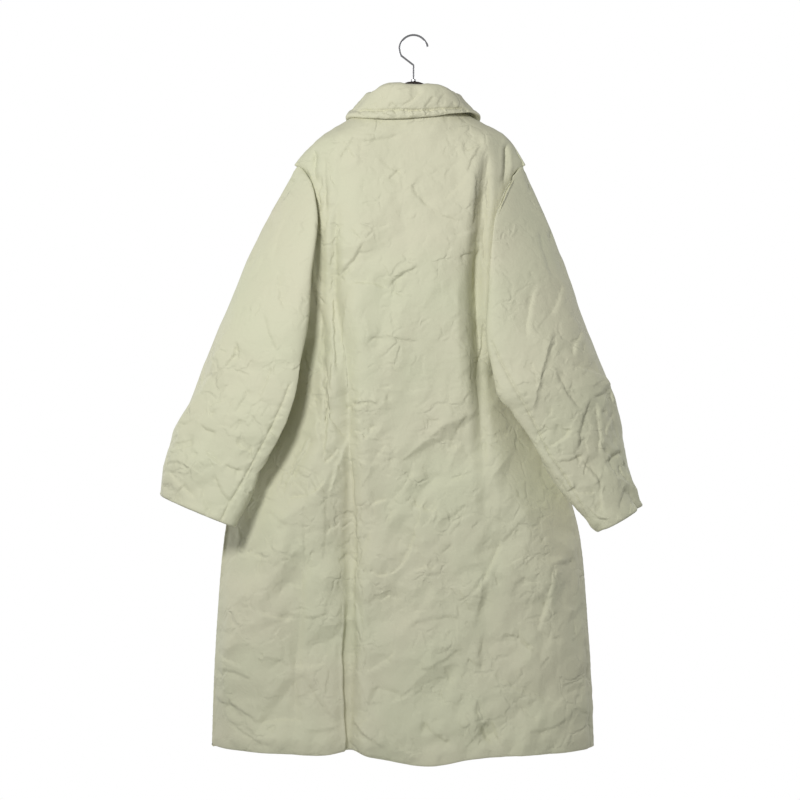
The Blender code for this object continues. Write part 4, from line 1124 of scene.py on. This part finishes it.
# A sleeve is this much flatter than round, and its creases fade this fast at its sides.
FLATNESS, SIDE_FADE = 2.2, 2.2
CUFF_Z, CUFF_ALONG = -0.66, 0.53
CUFF_MIDDLE, CUFF_SPREAD = 0.6, 0.5
SLEEVE_TOLERANCE = 0.00018
# Facets keep the first share at the top and gain the second one from SLEEVE_CALM_AT down.
SLEEVE_CALM, SLEEVE_CALM_GAIN, SLEEVE_CALM_AT, SLEEVE_CALM_REACH = 0.36, 0.90, 0.10, 0.30
# Lower left corner of each sleeve's small creases, and the reach of all and of the lower ones.
LEFT_CORNER, RIGHT_CORNER = np.array([0.17, -0.86]), np.array([-0.40, -0.86])
SMALL_REACH, LOWER_REACH = (0.24, 0.62), (0.24, 0.34)


def shifted(creases, across, up):
    """The same creases, moved over the sheet."""
    moved = dict(creases)
    for end in "01":
        moved["x" + end] = creases["x" + end] + across
        moved["z" + end] = creases["z" + end] + up
    return moved


def unrolled(points, axis):
    """Places on the tube of a sleeve, laid flat: round it and along it."""
    start, run = axis[0], axis[1] - axis[0]
    length = np.linalg.norm(run)
    side = np.array([run[2], 0.0, -run[0]]) / np.hypot(run[0], run[2])
    outward = side if side[0] * start[0] > 0 else -side
    centre = points - start
    along = centre @ (run / length)
    off = centre - np.outer(along / length, run)
    angle = np.arctan2(off[:, 1] * FLATNESS, off @ outward)
    return np.column_stack([angle / math.pi * HALF_ROUND, along])


def sleeve_heights(creases, underarm, axis, low, seed):
    """The relief of one sleeve as a function of places and normals."""
    facets = Facets((-HALF_ROUND, -0.20), (HALF_ROUND, 0.62), seed)
    small = joined(
        small_creases(low * 1000, (low + SMALL_REACH) * 1000, 70, seed, depth=(0.4, 1.2)),
        small_creases(low * 1000, (low + LOWER_REACH) * 1000, 110, seed + 50, depth=(0.5, 1.6)))
    on_both = [joined(creases, small), shifted(joined(creases, small), *FRONT_SHIFT)]

    def heights(points, normals):
        xz = points[:, [0, 2]]
        flat = unrolled(points, axis)
        calm = SLEEVE_CALM + SLEEVE_CALM_GAIN * smooth_step((flat[:, 1] - SLEEVE_CALM_AT) / SLEEVE_CALM_REACH)
        total = facets.heights(flat) * calm
        for one_side, way in zip(on_both, (1, -1)):
            total += crease_heights(xz, one_side) * smooth_step(way * normals[:, 1] * SIDE_FADE)
        total += seam_heights(xz, underarm, seed) * smooth_step(normals[:, 1] * SIDE_FADE)
        return total + BAG_SWELL * bulge((CUFF_ALONG - flat[:, 1]) / BAG_HEIGHT, CUFF_MIDDLE, CUFF_SPREAD)
    return heights


for side, *sizes in (("left", LEFT_SLEEVE_CREASES, LEFT_UNDERARM, LEFT_AXIS, LEFT_CORNER, 21),
                     ("right", RIGHT_SLEEVE_CREASES, RIGHT_UNDERARM, RIGHT_AXIS, RIGHT_CORNER, 22)):
    sleeve = cloth_piece("sleeve_" + side, (0, 1, 0), sleeve_heights(*sizes),
                         lambda co: co.z < CUFF_Z, SLEEVE_TOLERANCE)

# %% [markdown]
# ## The fronts
#
# The two fronts are hidden in the picture and are finished plainly: the same cloth with
# softer creases, like those of the back, and the same bagged hem. Where one lies over the
# other they stay nearly flat, so that neither comes through.

# %% Fronts
FRONT_CREASES = table(
    "x0 z0 x1 z1 bow depth width",
    (60, -250, 120, -290, 5, 2.4, 6), (50, -380, 110, -350, -5, 2.6, 6), (70, -460, 150, -500, 6, 2.8, 7),
    (60, -600, 130, -585, 4, 2.4, 6), (150, -640, 200, -720, 5, 3.4, 8), (80, -740, 150, -790, -6, 2.6, 8),
    (60, -860, 120, -900, 6, 2.6, 7), (180, -860, 250, -900, 5, 2.8, 8), (90, -980, 160, -950, 5, 3, 7),
    (200, -1010, 280, -1060, -6, 3.4, 7), (60, -1080, 130, -1120, 6, 3, 7),
    (150, -1120, 230, -1160, 5, 3.4, 7), (250, -1130, 320, -1170, -5, 3.4, 7),
    (110, -540, 130, -420, 3, 3.6, 8), (190, -960, 170, -820, 5, 3, 8))
HEM_FRONT = table(
    "x z",
    (-0.330, -1.195), (0, -1.200), (0.345, -1.195))
FRONT_SMALL_BOX = ((20, -1220), (340, -150))
FRONT_TOLERANCE = 0.00026
FRONT_LOWER = -9
# Share of relief where the fronts lap, how far that reaches, and over what width it ends.
LAP_CALM, LAP_REACH, LAP_FADE = 0.12, 0.035, 0.05


def front_heights(side, seed):
    """The relief of one front. side is 1 on the wearer's left and -1 on the right."""
    facets = Facets((-0.04, -1.26), (0.37, -0.10), seed)
    small = small_creases(*FRONT_SMALL_BOX, 90, seed, depth=(0.5, 1.5))
    creases = shifted(joined(FRONT_CREASES, small), 0, FRONT_LOWER * side)

    def heights(points, normals):
        xz = points[:, [0, 2]] * (side, 1)
        away = smooth_step((np.abs(xz[:, 0]) - LAP_REACH) / LAP_FADE)
        share = np.clip(-normals[:, 1], LEAST_RELIEF, 1.0) * (LAP_CALM + (1 - LAP_CALM) * away)
        return (facets.heights(xz) + crease_heights(xz, creases) + hem_bag(points, HEM_FRONT)) * share
    return heights


for side, sign, seed in (("left", 1, 31), ("right", -1, 32)):
    front = cloth_piece("front_" + side, (0, -1, 0), front_heights(sign, seed),
                        lambda co: co.z < HEM_Z, FRONT_TOLERANCE)

# %% [markdown]
# ## The collar
#
# The collar is folded over: its fall lies on the back and the fronts. It is small, closed
# and double, so a copy of the whole solid is rounded and crumpled. The fall hangs lower at
# the left than at the right, and the roll slopes down to the sides, so the copy is bent that
# way. A deep line of topstitching runs along its edge, and the band below it puckers. The
# top of the roll sinks a little, so that the dark crown of the hanger shows above it.

# %% How the collar hangs
# Where the stitched groove and the edge of the plain model's fall lie, out from the middle.
FALL_LINES = table(
    "out groove edge",
    (0, -0.1225, -0.1385), (0.028, -0.1205, -0.1365), (0.050, -0.1175, -0.1335), (0.064, -0.1155, -0.1315),
    (0.075, -0.1155, -0.1315), (0.085, -0.1170, -0.1320), (0.094, -0.1205, -0.1330),
    (0.116, -0.1300, -0.1350))
# How far they hang lower on the coat of the picture, from side to side.
FALL_DROP = table(
    "x groove edge",
    (-0.116, 0, 0), (-0.094, 0.0065, 0.0022), (-0.085, 0.0094, 0.0042), (-0.070, 0.0125, 0.0067),
    (-0.038, 0.0122, 0.0069), (0, 0.0115, 0.0060), (0.028, 0.0124, 0.0094), (0.050, 0.0160, 0.0130),
    (0.066, 0.0170, 0.0132), (0.085, 0.0137, 0.0112), (0.094, 0.0107, 0.0087), (0.116, 0.0010, 0.0010))
# How far the top of the roll sinks, and how far the edge leans towards the back.
ROLL_DROP = table(
    "out drop",
    (0, 0.0085), (0.012, 0.0080), (0.022, 0.0052), (0.042, 0.0055), (0.064, 0.0105), (0.080, 0.0060),
    (0.100, 0))
FALL_LEAN = table(
    "out lean",
    (0, 0.0050), (0.030, 0.0055), (0.050, 0.0026), (0.066, 0))
ROLL_TOP = -0.090
# Over what distance the fall begins, and where the sinking and the lean begin and how they grow.
FALL_BEGINS = 0.006
SINK_FROM_Z, SINK_GROWS_Z = -0.118, 0.03
SINK_FROM_Y, SINK_GROWS_Y = 0.005, 0.02
LEAN_FROM_Z, LEAN_GROWS_Z = -0.100, 0.035
# Where the space between stand and fall lies: distance from the middle, place on y.
FALL_FROM = table(
    "out y",
    (0, 0.0485), (0.030, 0.0453), (0.050, 0.0385), (0.070, 0.022), (0.085, 0.014), (0.116, -0.005))


def fall_line(x, line):
    """Height of the groove or the edge of the plain model's fall, and of the hung one."""
    plain = np.interp(np.abs(x), FALL_LINES["out"], FALL_LINES[line])
    return plain, plain - np.interp(x, FALL_DROP["x"], FALL_DROP[line])


def hung(points):
    """Places of the collar with the fall hung lower and the top of the roll sunk."""
    x, y, z = points.T
    out = np.abs(x)
    on_fall = smooth_step((y - np.interp(out, FALL_FROM["out"], FALL_FROM["y"])) / FALL_BEGINS + 0.5)
    groove, groove_hung = fall_line(x, "groove")
    edge, edge_hung = fall_line(x, "edge")
    upper = np.clip((ROLL_TOP - z) / (ROLL_TOP - groove), 0, 1)
    lower = np.clip((groove - z) / (groove - edge), 0, 1)
    fall = on_fall * (upper * (groove - groove_hung) * (1 - lower) + lower * (edge - edge_hung))
    roll = np.interp(out, ROLL_DROP["out"], ROLL_DROP["drop"])
    roll = (roll * smooth_step((z - SINK_FROM_Z) / SINK_GROWS_Z)
            * smooth_step((y - SINK_FROM_Y) / SINK_GROWS_Y))
    lean = np.interp(out, FALL_LEAN["out"], FALL_LEAN["lean"])
    lean = lean * on_fall * smooth_step((LEAN_FROM_Z - z) / LEAN_GROWS_Z)
    return np.column_stack([x, y - lean, z - fall - roll])

# %% [markdown]
# ### Creases of the collar
#
# The fall has a few slanting creases, and the band below the topstitching many short ones.

# %% Creases of the collar
COLLAR_CREASES = table(
    "x0 z0 x1 z1 bow depth width",
    (-15, -101, 22, -130, -3, 3.2, 4.5), (-35, -112, -18, -131, 2, 2.6, 4.5),
    (44, -131, 33, -121, 0, 2.2, 4), (62, -121, 84, -133, 2, 1.8, 4), (30, -101, 2, -97, 2, -2, 4),
    (-52, -107, -40, -127, 3, 2, 5), (-66, -117, -80, -129, 2, 2, 4), (56, -107, 42, -115, 2, 1.8, 4),
    (70, -128, 52, -110, 3, 1.8, 4))
COLLAR_GROOVE_DEPTH, COLLAR_GROOVE_WIDTH = 0.0044, 0.0012
# Puckers of the band: how many, how far out the last ones lie in millimetres, and the seed.
BAND_PUCKERS, BAND_END, BAND_SEED = 21, 96, 44
# Limits of their shift, height, slant, bow, depth and half width in millimetres.
BAND_SHIFT, BAND_HEIGHT, BAND_SLANT = (-3, 3), (6, 12), (3, 9)
BAND_BOW, BAND_DEPTH, BAND_WIDTH = (-1, 1), (1.0, 2.4), (1.8, 3.0)
COLLAR_FACETS = Facets((-0.16, -0.30), (0.16, 0.10), 41, 0.30)
COLLAR_SWELL = 0.0008
COLLAR_TOLERANCE = 0.00012


def band_puckers():
    """Short slanting creases across the band below the topstitching, uneven in all sizes."""
    rng = np.random.default_rng(BAND_SEED)
    x = np.linspace(BAND_END, -BAND_END, BAND_PUCKERS) + rng.uniform(*BAND_SHIFT, BAND_PUCKERS)
    top = 1000 * fall_line(x / 1000, "groove")[1]
    high = rng.uniform(*BAND_HEIGHT, BAND_PUCKERS)
    return {"x0": x, "z0": top, "x1": x - rng.uniform(*BAND_SLANT, BAND_PUCKERS), "z1": top - high,
            "bow": rng.uniform(*BAND_BOW, BAND_PUCKERS), "depth": rng.uniform(*BAND_DEPTH, BAND_PUCKERS),
            "width": rng.uniform(*BAND_WIDTH, BAND_PUCKERS)}


COLLAR_ALL = joined(COLLAR_CREASES, band_puckers())


def collar_relief(points, normals):
    """The relief of the collar: facets, creases, the stitched groove and a slight swell."""
    xz = hung(points)[:, [0, 2]]
    on_back = smooth_step(normals[:, 1] * 2)
    total = COLLAR_FACETS.heights(np.column_stack([points[:, 0], points[:, 2] + points[:, 1]]))
    total += crease_heights(xz, COLLAR_ALL) * on_back + COLLAR_SWELL
    off = np.abs(xz[:, 1] - fall_line(xz[:, 0], "groove")[1])
    return total - COLLAR_GROOVE_DEPTH * np.exp(-off / COLLAR_GROOVE_WIDTH) * on_back

# %% [markdown]
# ### Collar
#
# The whole solid is rounded, refined, hung and crumpled.

# %% Collar
def collar_piece():
    """The whole collar, hung as in the picture and crumpled."""
    bm = bmesh.new()
    bm.from_mesh(bpy.data.objects["collar"].data)
    bmesh.ops.remove_doubles(bm, verts=bm.verts, dist=WELD)
    to_quads(bm)
    bm = rounded(bm, "collar")
    height = refine(bm, collar_relief, COLLAR_TOLERANCE)
    points, normals, _ = places(bm)
    mesh = bpy.data.meshes.new("collar_cloth")
    bm.to_mesh(mesh)
    bm.free()
    mesh.vertices.foreach_set("co", (hung(points) + normals * height[:, None]).ravel())
    mesh.update()
    mesh.shade_smooth()
    collar = bpy.data.objects.new("collar_cloth", mesh)
    SCENE.collection.objects.link(collar)
    dress(collar, CLOTH, "cloth", "collar")
    return collar


collar = collar_piece()

# %% [markdown]
# ## Buttons, hanger and hook
#
# These keep their shape from the model and get their finishes.

# %% Hard parts
HARD_FINISHES = {"hanger": LACQUER, "hook": CHROME, "ferrule": CHROME}
HARD_FINISHES.update({f"button_{number}": BUTTON for number in range(1, 6)})
for name, finish in HARD_FINISHES.items():
    bpy.data.objects[name].material_slots[0].material = finish

# %% [markdown]
# ## The floor
#
# A pale matte board lies below the coat, clear of the hem.

# %% Floor board


def floor_board():
    """The pale round board below the coat."""
    bm = bmesh.new()
    bmesh.ops.create_circle(bm, cap_ends=True, radius=FLOOR_RADIUS, segments=FLOOR_SIDES)
    bmesh.ops.translate(bm, verts=bm.verts, vec=(0, 0, CAD_BOX[0][2] - FLOOR_GAP))
    mesh = bpy.data.meshes.new("floor")
    bm.to_mesh(mesh)
    bm.free()
    floor = bpy.data.objects.new("floor", mesh)
    SCENE.collection.objects.link(floor)
    mesh.materials.append(new_material("matte_board", "#F4F4F2", 0.9)[0])


floor_board()
